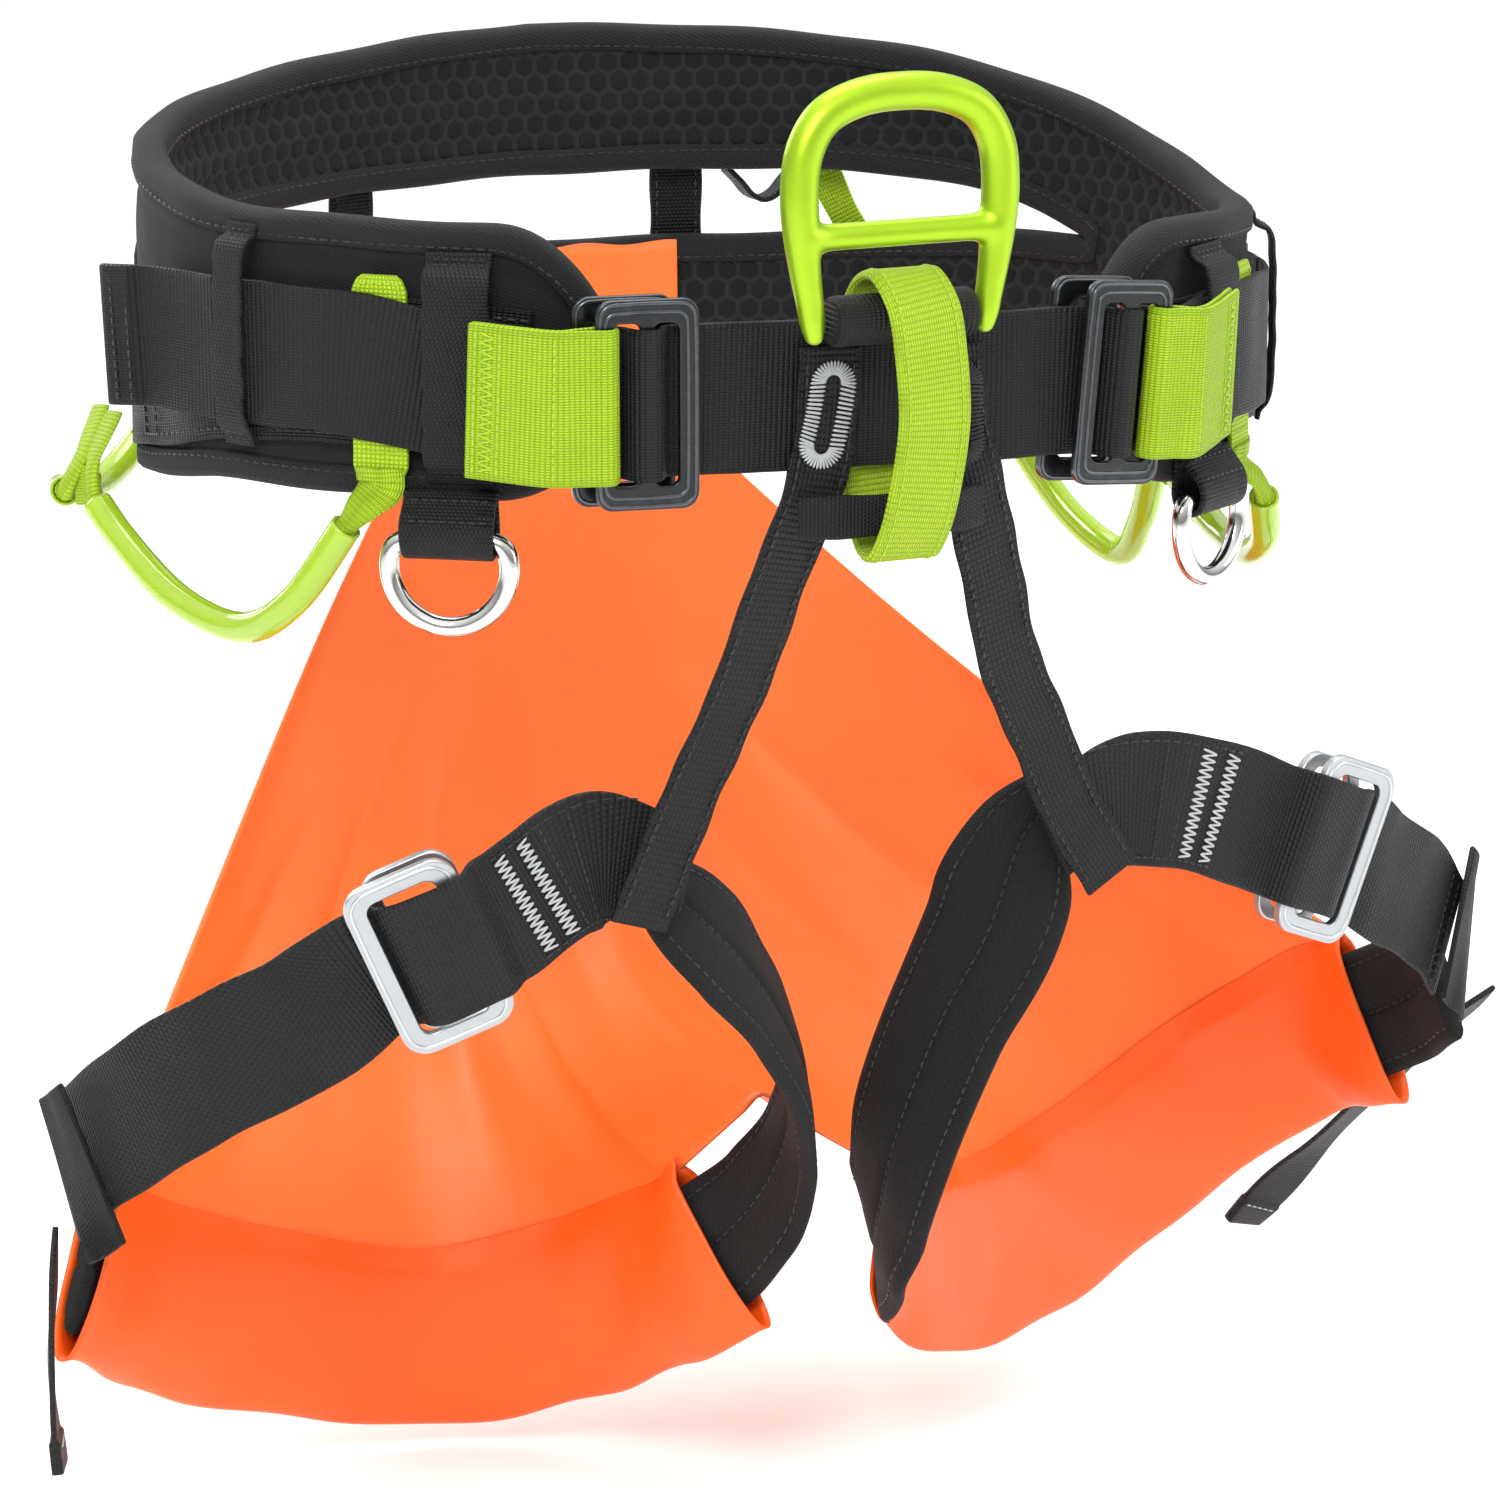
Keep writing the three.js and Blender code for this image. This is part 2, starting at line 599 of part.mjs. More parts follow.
// The bar that the ring and the belay loop hang on, inside a sewn webbing sleeve.
function sleeveBar() {
  const { y, z, radius, halfLength } = BAR;
  const rows = [-halfLength, 0, halfLength].map((x) => [CENTRE_X + x, y, z]);
  return sweep(bandFrames(rows, 2, false, [0, 1, 0]), () => circle(radius, 12));
}

// Closed loop round the sleeve bar, the front strap and the bridge: x, y, z down the back and up the front.
const BELAY = [
  [-4, -135.6, 16], [-4, -135.4, 0], [-4, -135.6, -18], [-3.5, -136.8, -30], [-3, -140.5, -41], [-3, -147, -47.5],
  [-3, -153.5, -47.5], [-2, -159.6, -39], [0, -163, -24], [1.5, -164.8, -6], [0, -165.2, 14], [-2, -163.8, 28],
  [-4, -156, 36.2], [-4, -147, 34.5], [-4, -139.5, 28],
];

const belayLoop = () => band(BELAY, WEBBING.belay, WEBBING.belayThick, 44, true, [1, 0, 0]);

// Short webbing between the risers that keeps the belay loop in place.
function legBridge() {
  const rows = [[-33, -144.6, -35.5], [-28.5, -147.2, -35.5], [-24, -149.6, -35.5], [-6, -150.4, -36],
    [13, -150, -36.5], [19, -148.4, -36.5], [27, -144.8, -36.5]];
  return band(rows, 13, 2, 14);
}

// ---- Legs ----

const RISERS = {
  left: [[-22, -142.4, 14], [-23, -142.4, -8], [-26, -142.4, -25], [-30, -139, -40], [-35, -132, -60],
    [-41, -123, -88], [-54, -109, -130], [-66, -102, -166]],
  right: [[18, -142.4, 11], [21, -142.4, -12], [25, -142.4, -28], [31, -138, -45], [39, -131, -66],
    [47, -124, -88],
    [66, -111, -119], [77, -107.5, -141], [93, -107, -166]],
};

const riser = (name) => band(RISERS[name], WEBBING.riser, WEBBING.riserThick, 26, false, [1, 0, 0.1]);

// The leg strap: from under the riser, up through the buckle and round to the outside of the thigh.
const LEG_STRAPS = {
  left: {
    start: [[-68, -96.5, -138], [-82, -97.5, -144], [-95, -98, -150]],
    end: [[-162, -76, -190], [-177, -66, -200], [-193, -50, -213], [-205, -30, -229], [-211, -8, -244],
      [-212, 8, -256]],
  },
  right: {
    start: [[90, -98, -141], [108, -99, -144], [133, -99, -150]],
    end: [[212, -70, -187], [226, -61, -195], [242, -50, -206], [254, -40, -219]],
  },
};

function legStrap(name) {
  const b = LEG_BUCKLES[name];
  const { start, end } = LEG_STRAPS[name];
  const rows = [...start, ...humpRows(b, LEG_HUMP), ...end];
  return band(rows, 43, WEBBING.thick, 48);
}

// The padded band: from the front junction down the inside of the thigh, then round behind it.
// The across direction turns from facing forward to facing the other leg, then upright again.
const LEG_PADS = {
  left: [[-52, -91, -160, 0.5, 0.4, 0.75], [-34, -89, -178, 0.45, 0.65, 0.62],
    [-16, -83, -200, 0.35, 0.75, 0.55],
    [3, -68, -232, 0.25, 0.8, 0.5], [8, -54, -257, 0.1, 0.75, 0.6], [2, -42, -279, 0, 0.6, 0.8],
    [-8, -24, -298], [-15, 2, -314], [-34, 36, -332], [-76, 57, -341], [-133, 51, -325], [-174, 34, -307],
    [-205, 10, -286]],
  right: [[72, -87.5, -154, -0.4, 0.3, 0.85], [60, -89, -184, -0.4, 0.5, 0.75],
    [49, -81, -213, -0.3, 0.65, 0.65],
    [41, -68, -250, -0.3, 0.7, 0.6], [42, -54, -278, -0.2, 0.65, 0.7], [47, -40, -296, 0, 0.6, 0.8],
    [62, -18, -310], [104, 12, -320], [162, 42, -314, -0.3, 0, 0.93], [210, 49, -292, -0.4, 0, 0.9],
    [236, 30, -271, -0.4, 0, 0.9], [247, 5, -257], [256, -16, -245], [257, -32, -235]],
};

const LEG_PAD_STEPS = 44;

// The pad is narrower where it starts, behind the riser's end.
function legPad(name) {
  return sweep(bandFrames(LEG_PADS[name], LEG_PAD_STEPS), (i) => {
    const widen = THREE.MathUtils.smoothstep(i, -3, LEG_PAD.taper);
    return softRectangle(LEG_PAD.width * (0.45 + 0.55 * widen), LEG_PAD.thick, 1.8);
  });
}

// The sleeve covers part of the pad's run: the shares of the run where it starts and stops.
const SLEEVE_RUN = { left: [21, 44], right: [20, 38] };

const sleeveFrames = (name) =>
  bandFrames(LEG_PADS[name], LEG_PAD_STEPS).slice(SLEEVE_RUN[name][0], SLEEVE_RUN[name][1] + 1);

function seatSleeve(name) {
  return sweepTube(
    sleeveFrames(name),
    softRectangle(SLEEVE.width, SLEEVE.thick, 2.6),
    softRectangle(SLEEVE.holeWidth, SLEEVE.holeThick, 2.2),
  );
}

// A keeper loop on the outside of the thigh, round the strap.
const LEG_KEEPERS = {
  left: [[-212.5, -20, -244], [-214.8, -13, -249], [-216.5, -6, -253]],
  right: [[251.6, -50.8, -211], [257.8, -45, -217], [263, -38, -224]],
};

const legKeeper = (name) => band(LEG_KEEPERS[name], 56, 1.6, 6);

const LEG_TAILS = {
  left: [[-221.5, -10, -268], [-225, -17, -282], [-229, -25, -301], [-230, -29, -318], [-229, -31, -336]],
  right: [[272.5, -27, -246], [275, -4, -262], [271, 25, -286], [258, 52, -316], [240, 70, -345]],
};

const LEG_TAIL_ACROSS = { left: [0.35, 0.94, 0], right: [0.75, -0.3, 0.6] };

const legTail = (name) => band(LEG_TAILS[name], 20, 1.8, 10, false, LEG_TAIL_ACROSS[name]);

// ---- Seat sheet ----

// Coated fabric hung from the rear band, spreading to the top edges of both sleeves.
const SHEET_COLUMNS = 30;
const SHEET_ROWS = 10;
// Where each column bends: share across the sheet, then x, y, z of the bend.
const SHEET_BENDS = [[0, -116, 114, -180], [0.28, -88, 132, -214], [0.5, -2, 150, -252],
  [0.72, 96, 130, -208],
  [1, 165, 101, -171]];
const SHEET_FLAP = { angle: 33, offset: -2.9, top: 3, bottom: -54 };
const CROTCH = [[0, -33, -250], [9, -31, -245], [20, -34, -254]];

function sheetHem() {
  const edge = (frames, reverse) => {
    const list = frames.map((f) => f.origin.clone().addScaledVector(f.u, SLEEVE.width / 2 + 2.2));
    return reverse ? list.reverse() : list;
  };
  const points = [
    ...edge(sleeveFrames("left"), true),
    ...CROTCH.map(fromList),
    ...edge(sleeveFrames("right"), false),
  ];
  return new THREE.CatmullRomCurve3(points, false, "centripetal");
}

function sheetPoint(hem, across, down) {
  const theta = 90 - (across - 0.5) * SHEET_FLAP.angle;
  const top = beltFrame(theta, SHEET_FLAP.offset, SHEET_FLAP.top).origin;
  const tuck = beltFrame(theta, SHEET_FLAP.offset, SHEET_FLAP.bottom).origin;
  if (down <= 0) return top;
  const flap = 0.14;
  if (down < flap) return top.lerp(tuck, down / flap);
  const bend = vec(...[1, 2, 3].map((k) => smoothTable(SHEET_BENDS.map((row) => [row[0], row[k]]), across)));
 
    return new THREE.QuadraticBezierCurve3(tuck, bend, hem.getPointAt(across)).getPoint((down - flap) / (1 - flap));
}

function seatSheet() {
  const hem = sheetHem();
  const [columns, rows] = [SHEET_COLUMNS, SHEET_ROWS];
  const grid = [];
  for (let j = 0; j <= rows; j++) {
    for (let i = 0; i <= columns; i++) grid.push(sheetPoint(hem, i / columns, j / rows));
  }
  const at = (i, j) => j * (columns + 1) + i;
  const clamp = THREE.MathUtils.clamp;
  const back = grid.map((point, k) => {
    const [i, j] = [k % (columns + 1), Math.floor(k / (columns + 1))];
    const du = grid[at(clamp(i + 1, 0, columns), j)].clone().sub(grid[at(clamp(i - 1, 0, columns), j)]);
    const dv = grid[at(i, clamp(j + 1, 0, rows))].clone().sub(grid[at(i, clamp(j - 1, 0, rows))]);
    return point.clone().addScaledVector(du.cross(dv).normalize(), SHEET_THICK);
  });
  const triangles = [];
  const shift = grid.length;
  for (let j = 0; j < rows; j++) {
    for (let i = 0; i < columns; i++) {
      const [a, b, c, d] = [at(i, j), at(i + 1, j), at(i + 1, j + 1), at(i, j + 1)];
      triangles.push([a, b, c], [a, c, d], [a + shift, c + shift, b + shift],
        [a + shift, d + shift, c + shift]);
    }
  }
  const rim = [];
  for (let i = 0; i < columns; i++) rim.push(at(i, 0));
  for (let j = 0; j < rows; j++) rim.push(at(columns, j));
  for (let i = columns; i > 0; i--) rim.push(at(i, rows));
  for (let j = rows; j > 0; j--) rim.push(at(0, j));
  rim.forEach((a, k) => {
    const b = rim[(k + 1) % rim.length];
    triangles.push([a, a + shift, b + shift], [a, b + shift, b]);
  });
  return closedGeometry([...grid, ...back], fixWinding([...grid, ...back], triangles));
}

// ---- Assembly ----

addPart("waist_pad", waistPad(), "mesh");
addPart("load_webbing", loadWebbing(), "black");
addPart("front_strap", frontStrap(), "black");
addPart("left_rear_strap", rearStrap(111.5), "black");
addPart("right_rear_strap", rearStrap(72.8), "black");
addPart("haul_loop", haulLoop(), "black");

for (const [name, side] of [["left", -1], ["right", 1]]) {
  const b = BELT_BUCKLES[name];
  addPart(name + "_buckle_front_plate", beltFrontPlate(b), "plate");
  addPart(name + "_buckle_back_plate", beltBackPlate(b, side < 0 ? 5 : -7), "plate");
  addPart(name + "_pull_tab", pullTab(side, b), "lime");
  addPart(name + "_strap_tail", strapTail(side, b), "black");
  addPart(name + "_tail_end", tailEnd(side), "black");
  addPart(name + "_front_keeper", frontKeeper(side), "black");
  addPart(name + "_rear_keeper", keeper(side, 66.5, 71, -24, 39, [9.3, 11.6]), "black");
  addPart(name + "_ring_hanger", ringHanger(side, name), "black");
  addPart(name + "_side_ring", sideRing(side, name), "steel");
  addPart(name + "_front_gear_tab", frontGearTab(side), "lime");
  addPart(name + "_side_gear_tab", sideGearTab(side, side < 0 ? -44 : -66), "lime");
  addPart(name + "_rear_gear_tab", rearGearTab(side), "lime");
  for (const end of ["front", "rear"]) {
    const rows = GEAR_LOOPS[name + "_" + end];
    addPart(name + "_" + end + "_gear_tube", gearTube(rows), "clear");
    addPart(name + "_" + end + "_gear_webbing", gearCore(rows), "lime");
  }
  addPart(name + "_riser", riser(name), "black");
  addPart(name + "_leg_strap", legStrap(name), "black");
  addPart(name + "_leg_buckle", legFramePlate(LEG_BUCKLES[name]), "satin");
  addPart(name + "_leg_buckle_back", legBackPlate(LEG_BUCKLES[name]), "satin");
  addPart(name + "_leg_pad", legPad(name), "black");
  addPart(name + "_leg_keeper", legKeeper(name), "black");
  addPart(name + "_leg_tail", legTail(name), "black");
  addPart(name + "_seat_sleeve", seatSleeve(name), "orange");
}

addPart("tie_in_ring", tieInRing(), "anodised");
addPart("tie_in_sleeve", sleeveBar(), "black");
addPart("belay_loop", belayLoop(), "lime");
addPart("leg_bridge", legBridge(), "black");
addPart("seat_sheet", seatSheet(), "orange");

export default saddle;
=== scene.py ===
# Looks for a tree climbing saddle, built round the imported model. Lengths in this file are millimetres.
import bpy
import bmesh
import math
import numpy as np
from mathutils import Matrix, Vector


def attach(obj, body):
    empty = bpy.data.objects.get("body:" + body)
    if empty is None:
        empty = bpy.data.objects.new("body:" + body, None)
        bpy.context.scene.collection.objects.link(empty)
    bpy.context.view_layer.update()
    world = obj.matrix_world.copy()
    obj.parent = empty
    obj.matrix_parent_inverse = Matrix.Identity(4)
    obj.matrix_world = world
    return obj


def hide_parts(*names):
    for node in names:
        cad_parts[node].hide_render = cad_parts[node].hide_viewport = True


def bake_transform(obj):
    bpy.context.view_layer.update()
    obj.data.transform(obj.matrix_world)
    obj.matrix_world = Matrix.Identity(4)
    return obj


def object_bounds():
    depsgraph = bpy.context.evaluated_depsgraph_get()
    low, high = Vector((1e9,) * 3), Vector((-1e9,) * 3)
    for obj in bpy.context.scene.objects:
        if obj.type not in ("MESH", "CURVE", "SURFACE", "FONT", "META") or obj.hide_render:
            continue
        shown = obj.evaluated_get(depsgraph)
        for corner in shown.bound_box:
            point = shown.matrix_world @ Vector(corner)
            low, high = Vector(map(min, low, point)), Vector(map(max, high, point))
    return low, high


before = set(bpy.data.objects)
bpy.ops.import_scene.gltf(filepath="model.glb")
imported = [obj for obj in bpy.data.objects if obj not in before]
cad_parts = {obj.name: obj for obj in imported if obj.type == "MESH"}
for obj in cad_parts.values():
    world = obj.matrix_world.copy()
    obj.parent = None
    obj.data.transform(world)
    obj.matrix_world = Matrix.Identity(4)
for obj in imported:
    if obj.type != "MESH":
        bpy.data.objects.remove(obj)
CAD_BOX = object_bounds()
MM = 0.001
SIDES = (("left", -1), ("right", 1))
FRONT = (0, -1, 0)

# ---------------------------------------------------------------- sizes shared with the CAD
BELT_HALF = (169.5, 126.5)
FRONT_POWER, REAR_POWER = 2.2, 2.0
PAD_THICK, PAD_ROUND = 9.0, 12.0
PAD_ENDS = (-64.5, 243.0)
WEB_WIDTH, WEB_THICK = 45.0, 2.0
CENTRE_X = -5.0
BAR_Y, BAR_Z = -154.6, 24.0
D_HALF, D_WIRE, D_OFFSET = 18.0, 3.0, 15.4
PAD_TOP = [(24, 39), (34, 43), (45, 43), (75, 44), (90, 49), (110, 58), (135, 67), (160, 73), (180, 76)]
PAD_BOTTOM = [(24, -33), (45, -36), (75, -37), (95, -42), (135, -46), (180, -48)]
LENS_TOP = [(108, 15), (118, 22), (130, 26), (150, 28), (180, 29)]
LENS_BOTTOM = [(108, 15), (118, 12), (130, 8), (150, 4), (180, 4)]
LOAD_HEIGHT = [(30, -2), (50, 0), (70, -2), (90, -10), (135, -20), (180, -22)]
DROOP = [(-90, 0), (-45, -7), (-20, -11), (0, -12), (45, -1), (90, 0), (135, 0), (180, 6), (225, 7), (250, 2),
         (270, 0)]
HANGER = {"left": (43.3, -41.0), "right": (41.0, -46.5)}


# ---------------------------------------------------------------- small maths
def vec(*values):
    return np.array(values, float)


def unit(v):
    """Vectors scaled to length one."""
    v = np.asarray(v, float)
    return v / np.linalg.norm(v, axis=-1, keepdims=True)


def smooth_table(rows, where):
    """Smooth curve through rows of (where, value), held at both ends."""
    x = np.array([r[0] for r in rows], float)
    y = np.array([r[1] for r in rows], float)
    last = len(x) - 1
    lower = np.maximum(np.arange(last + 1) - 1, 0)
    upper = np.minimum(np.arange(last + 1) + 1, last)
    slope = (y[upper] - y[lower]) / (x[upper] - x[lower])
    w = np.clip(np.asarray(where, float), x[0], x[-1])
    i = np.clip(np.searchsorted(x, w, side="right") - 1, 0, last - 1)
    span = x[i + 1] - x[i]
    t = (w - x[i]) / span
    return ((2 * t**3 - 3 * t**2 + 1) * y[i] + (t**3 - 2 * t**2 + t) * span * slope[i]
            + (3 * t**2 - 2 * t**3) * y[i + 1] + (t**3 - t**2) * span * slope[i + 1])


def smoothstep(x, low, high):
    """0 below low, 1 above high and a smooth rise between."""
    t = np.clip((np.asarray(x, float) - low) / (high - low), 0, 1)
    return t * t * (3 - 2 * t)


def droop(theta):
    """How far the belt's middle rises or falls at an angle."""
    theta = np.asarray(theta, float)
    return smooth_table(DROOP, np.where(theta > 270, theta - 360, theta))


def height_at(table, theta):
    """A table's height at an angle, the same on both sides, with the droop added."""
    theta = np.asarray(theta, float)
    return smooth_table(table, np.abs(((theta + 630) % 360) - 180)) + droop(theta)


def belt(theta, offset=0.0, z=0.0):
    """Points outside the belt's inner line by offset, and the outward directions there."""
    theta = np.atleast_1d(np.asarray(theta, float))
    c, s = np.cos(np.radians(theta)), np.sin(np.radians(theta))
    power = np.where(s < 0, FRONT_POWER, REAR_POWER)
    scale = (np.abs(c) ** power + np.abs(s) ** power) ** (-1 / power)
    x, y = BELT_HALF[0] * c * scale, BELT_HALF[1] * s * scale
    steep = lambda value, half: np.sign(value) * np.abs(value / half) ** (power - 1) / half
    out = unit(np.stack([steep(x, BELT_HALF[0]), steep(y, BELT_HALF[1]), 0 * x], 1))
    base = np.stack([x, y, np.broadcast_to(z, x.shape)], 1)
    return base + out * np.broadcast_to(offset, x.shape)[:, None], out


def beside(out):
    """The level direction across an outward one."""
    return np.cross(out, [0, 0, 1])


def belt_point(theta, offset, z):
    """One point outside the belt."""
    return belt(theta, offset, z)[0][0]


def belt_angle(side, around):
    """The angle that is around degrees from the front, on one side."""
    return 270 + side * around


def lengths(line):
    """The length run at each point of a line."""
    return np.concatenate([[0], np.cumsum(np.linalg.norm(np.diff(line, axis=0), axis=1))])


def catmull(points, t, closed=False):
    """Centripetal Catmull-Rom curve through the points."""
    p = np.array(points, float)
    count = len(p)
    s = np.asarray(t, float) * (count if closed else count - 1)
    i = np.floor(s).astype(int)
    if not closed:
        i = np.clip(i, 0, count - 2)
        ends = np.vstack([2 * p[0] - p[1], p, 2 * p[-1] - p[-2]])
        pick = lambda k: ends[k + 1]
    else:
        pick = lambda k: p[k % count]
    w = (s - i)[:, None]
    p0, p1, p2, p3 = pick(i - 1), pick(i), pick(i + 1), pick(i + 2)
    gap = lambda a, b: np.maximum(np.linalg.norm(a - b, axis=1, keepdims=True), 1e-6) ** 0.5
    d0, d1, d2 = gap(p0, p1), gap(p1, p2), gap(p2, p3)
    t1 = ((p1 - p0) / d0 - (p2 - p0) / (d0 + d1) + (p2 - p1) / d1) * d1
    t2 = ((p2 - p1) / d1 - (p3 - p1) / (d1 + d2) + (p3 - p2) / d2) * d1
    return p1 + t1 * w + (-3 * p1 + 3 * p2 - 2 * t1 - t2) * w**2 + (2 * p1 - 2 * p2 + t1 + t2) * w**3


class Path:
    """A smooth line with a direction across it (u) and one off its face (v), at even steps."""

    def __init__(self, rows, step=1.5, closed=False, across=(0, 0, 1), steps=None):
        points = [r[:3] for r in rows]
        turns = np.array([r[3:6] if len(r) > 3 else across for r in rows], float)
        self.closed = closed
        if steps is None:
            dense_t = np.linspace(0, 1, 40 * len(points) + 1)
            dense = catmull(points, dense_t, closed)
            run = lengths(dense)
            count = max(int(run[-1] / step), 4)
            self.s = np.linspace(0, run[-1], count + 1)
            t = np.interp(self.s, run, dense_t)
        else:
            t = np.linspace(0, 1, steps + 1)
        self.t = t
        self.origin = catmull(points, np.clip(t, 0, 1 - 1e-9) if closed else t, closed)
        near = 1e-4
        low, high = np.clip(t - near, 0, 1), np.clip(t + near, 0, 1)
        if closed:
            low, high = (t - near) % 1, (t + near) % 1
        self.tangent = unit(catmull(points, high, closed) - catmull(points, low, closed))
        if steps is not None:
            self.s = lengths(self.origin)
        spans = len(turns) if closed else len(turns) - 1
        k = np.minimum(np.floor(t * spans).astype(int), spans - 1)
        mix = smoothstep(t * spans - k, 0, 1)[:, None]
        u = turns[k] * (1 - mix) + turns[(k + 1) % len(turns)] * mix
        u -= self.tangent * np.sum(u * self.tangent, 1, keepdims=True)
        self.u = unit(u)
        self.v = np.cross(self.tangent, self.u)

    @property
    def length(self):
        return self.s[-1]

    def facing(self, ring, direction):
        """1 where the face at a ring looks along direction, or -1."""
        return 1 if np.dot(self.v[ring], direction) > 0 else -1

    def cut(self, first, last):
        """The stretch from ring first to ring last."""
        for name in ("origin", "u", "v", "tangent", "s", "t"):
            setattr(self, name, getattr(self, name)[first:last + 1])
        self.s = self.s - self.s[0]
        return self

    def at(self, s, a, b=0.0):
        """Points at arc length s, a across and b off the face."""
        s, a, b = np.broadcast_arrays(np.atleast_1d(np.asarray(s, float)), a, b)
        pick = lambda rows: np.stack([np.interp(s, self.s, rows[:, k]) for k in range(3)], 1)
        return pick(self.origin) + pick(self.u) * a[:, None] + pick(self.v) * b[:, None]


# ---------------------------------------------------------------- meshes
def add(name, data):
    """A new object in the scene."""
    obj = bpy.data.objects.new(name, data)
    bpy.context.scene.collection.objects.link(obj)
    return obj


def rework(mesh, change):
    """Runs change on the mesh as a bmesh."""
    work = bmesh.new()
    work.from_mesh(mesh)
    change(work)
    work.to_mesh(mesh)
    work.free()


def read(items, what, width=3, kind=np.float32):
    """One property of a mesh's vertices, corners or faces, as rows."""
    values = np.zeros(len(items) * width, kind)
    items.foreach_get(what, values)
    return values.reshape(-1, width) if width > 1 else values


def tube_faces(index):
    """Quads round each pair of neighbouring rings of points, and a cap at each end."""
    after = np.roll(index, -1, 1)
    faces = []
    for j in range(index.shape[1]):
        faces += np.stack([index[:-1, j], after[:-1, j], after[1:, j], index[1:, j]], 1).tolist()
    return faces + [index[0].tolist(), index[-1].tolist()]


def make_mesh(name, points, faces, uvs=None, smooth=True):
    """A mesh object from points in millimetres. uvs holds one pair, in metres, for each face corner."""
    mesh = bpy.data.meshes.new(name)
    mesh.from_pydata((np.asarray(points, float) * MM).tolist(), [], [list(map(int, f)) for f in faces])
    if uvs is not None:
        layer = mesh.uv_layers.new(name="UVMap")
        layer.data.foreach_set("uv", (np.asarray(uvs, float) * MM).astype(np.float32).ravel())
    mesh.polygons.foreach_set("use_smooth", [smooth] * len(mesh.polygons))
    mesh.update()
    obj = add(name, mesh)
    rework(mesh, lambda work: bmesh.ops.recalc_face_normals(work, faces=work.faces))
    return obj


def ribbon_profile(width, thick, segments=10):
    """A flat band's outline with rounded edges."""
    r = thick / 2
    a = np.linspace(-width / 2 + r, width / 2 - r, segments + 1)
    turn = np.radians([60, 20, -20, -60])
    edge = np.stack([np.cos(turn), np.sin(turn)], 1) * r
    top = np.stack([a, np.full_like(a, r)], 1)
    right = edge + [width / 2 - r, 0]
    return np.vstack([top, right, -top, -right])


def round_profile(radius_a, radius_b=None, sides=20):
    """An oval outline."""
    turn = np.linspace(0, 2 * np.pi, sides, endpoint=False)
    return np.stack([radius_a * np.cos(turn), (radius_b or radius_a) * np.sin(turn)], 1)


def sweep(name, path, profile, round_uv=False, inner=None):
    """Sweeps a section along a path. profile is one outline, or one for each ring. inner makes it a tube."""
    rings = len(path.origin) - (1 if path.closed else 0)
    outlines = [np.broadcast_to(profile, (len(path.origin),) + np.asarray(profile).shape[-2:])[:rings]]
    if inner is not None:
        outlines.append(np.broadcast_to(inner, (len(path.origin),) + np.asarray(inner).shape[-2:])[:rings])
    points, faces, uvs = [], [], []
    base = 0
    starts = []
    for outline in outlines:
        count = outline.shape[1]
        points.append((path.origin[:rings, None] + outline[..., :1] * path.u[:rings, None]
                       + outline[..., 1:] * path.v[:rings, None]).reshape(-1, 3))
        across = outline[0, :, 0]
        if round_uv:
            hop = np.linalg.norm(np.diff(np.vstack([outline[0], outline[0][:1]]), axis=0), axis=1)
            around = np.concatenate([[0], np.cumsum(hop)])
        for i in range(rings if path.closed else rings - 1):
            j = (i + 1) % rings
            s0, s1 = path.s[i], path.s[i + 1]
            for k in range(count):
                m = (k + 1) % count
                this, next_ = base + i * count, base + j * count
                faces.append((this + k, this + m, next_ + m, next_ + k))
                x0, x1 = (around[k], around[k + 1]) if round_uv else (across[k], across[m])
                uvs += [(x0, s0), (x1, s0), (x1, s1), (x0, s1)]
        starts.append((base, count))
        base += rings * count
    if not path.closed:
        for ring in (0, rings - 1):
            if inner is None:
                b, count = starts[0]
                faces.append([b + ring * count + k for k in range(count)])
                uvs += [(p[0], path.s[ring] + p[1]) for p in outlines[0][ring]]
            else:
                (b0, count), (b1, _) = starts
                for k in range(count):
                    m = (k + 1) % count
                    faces.append((b0 + ring * count + k, b0 + ring * count + m,
                                  b1 + ring * count + m, b1 + ring * count + k))
                    uvs += [(outlines[0][ring][k][0], path.s[ring])] * 4
    return make_mesh(name, np.vstack(points), faces, uvs)


def soft(path, profile, amount, length, seed, edge=0.0):
    """Copies an outline to every ring with a slight waviness, as real webbing has."""
    rows = np.repeat(np.asarray(profile, float)[None], len(path.origin), 0)
    rng = np.random.default_rng(seed)
    half = np.abs(profile[:, 0]).max()
    for k in range(3):
        phase, lean = rng.uniform(0, 6.28), rng.uniform(-1.2, 1.2)
        wave = 2 * np.pi * path.s[:, None] / (length * (0.7 + 0.5 * k)) + phase + lean * rows[..., 0] / half
        rows[..., 1] += amount / (k + 1) * np.sin(wave)
    if edge:
        wave = np.sin(2 * np.pi * path.s / (length * 0.8) + rng.uniform(0, 6))
        rows[..., 0] *= (1 + edge / half * wave)[:, None]
    if not path.closed:
        fade = np.minimum(smoothstep(path.s, 0, 6), smoothstep(path.length - path.s, 0, 6))[:, None, None]
        rows = np.asarray(profile)[None] * (1 - fade) + rows * fade
    return rows


def per_ring(path, profile):
    """One copy of an outline for each ring of a path."""
    return np.repeat(profile[None], len(path.origin), 0)


def band(name, rows, width, thick, across=(0, 0, 1), step=1.5, wave=0.25, seed=1, length=30):
    """A length of webbing, and the path that it follows."""
    path = Path(rows, step, False, across)
    outline = ribbon_profile(width, thick)
    return sweep(name, path, soft(path, outline, wave, length, seed, 0.25)), path


def join(name, objects):
    """Joins objects into one, keeping their materials."""
    bpy.ops.object.select_all(action="DESELECT")
    for o in objects:
        o.select_set(True)
    bpy.context.view_layer.objects.active = objects[0]
    bpy.ops.object.join()
    objects[0].name = name
    objects[0].data.name = name
    return objects[0]


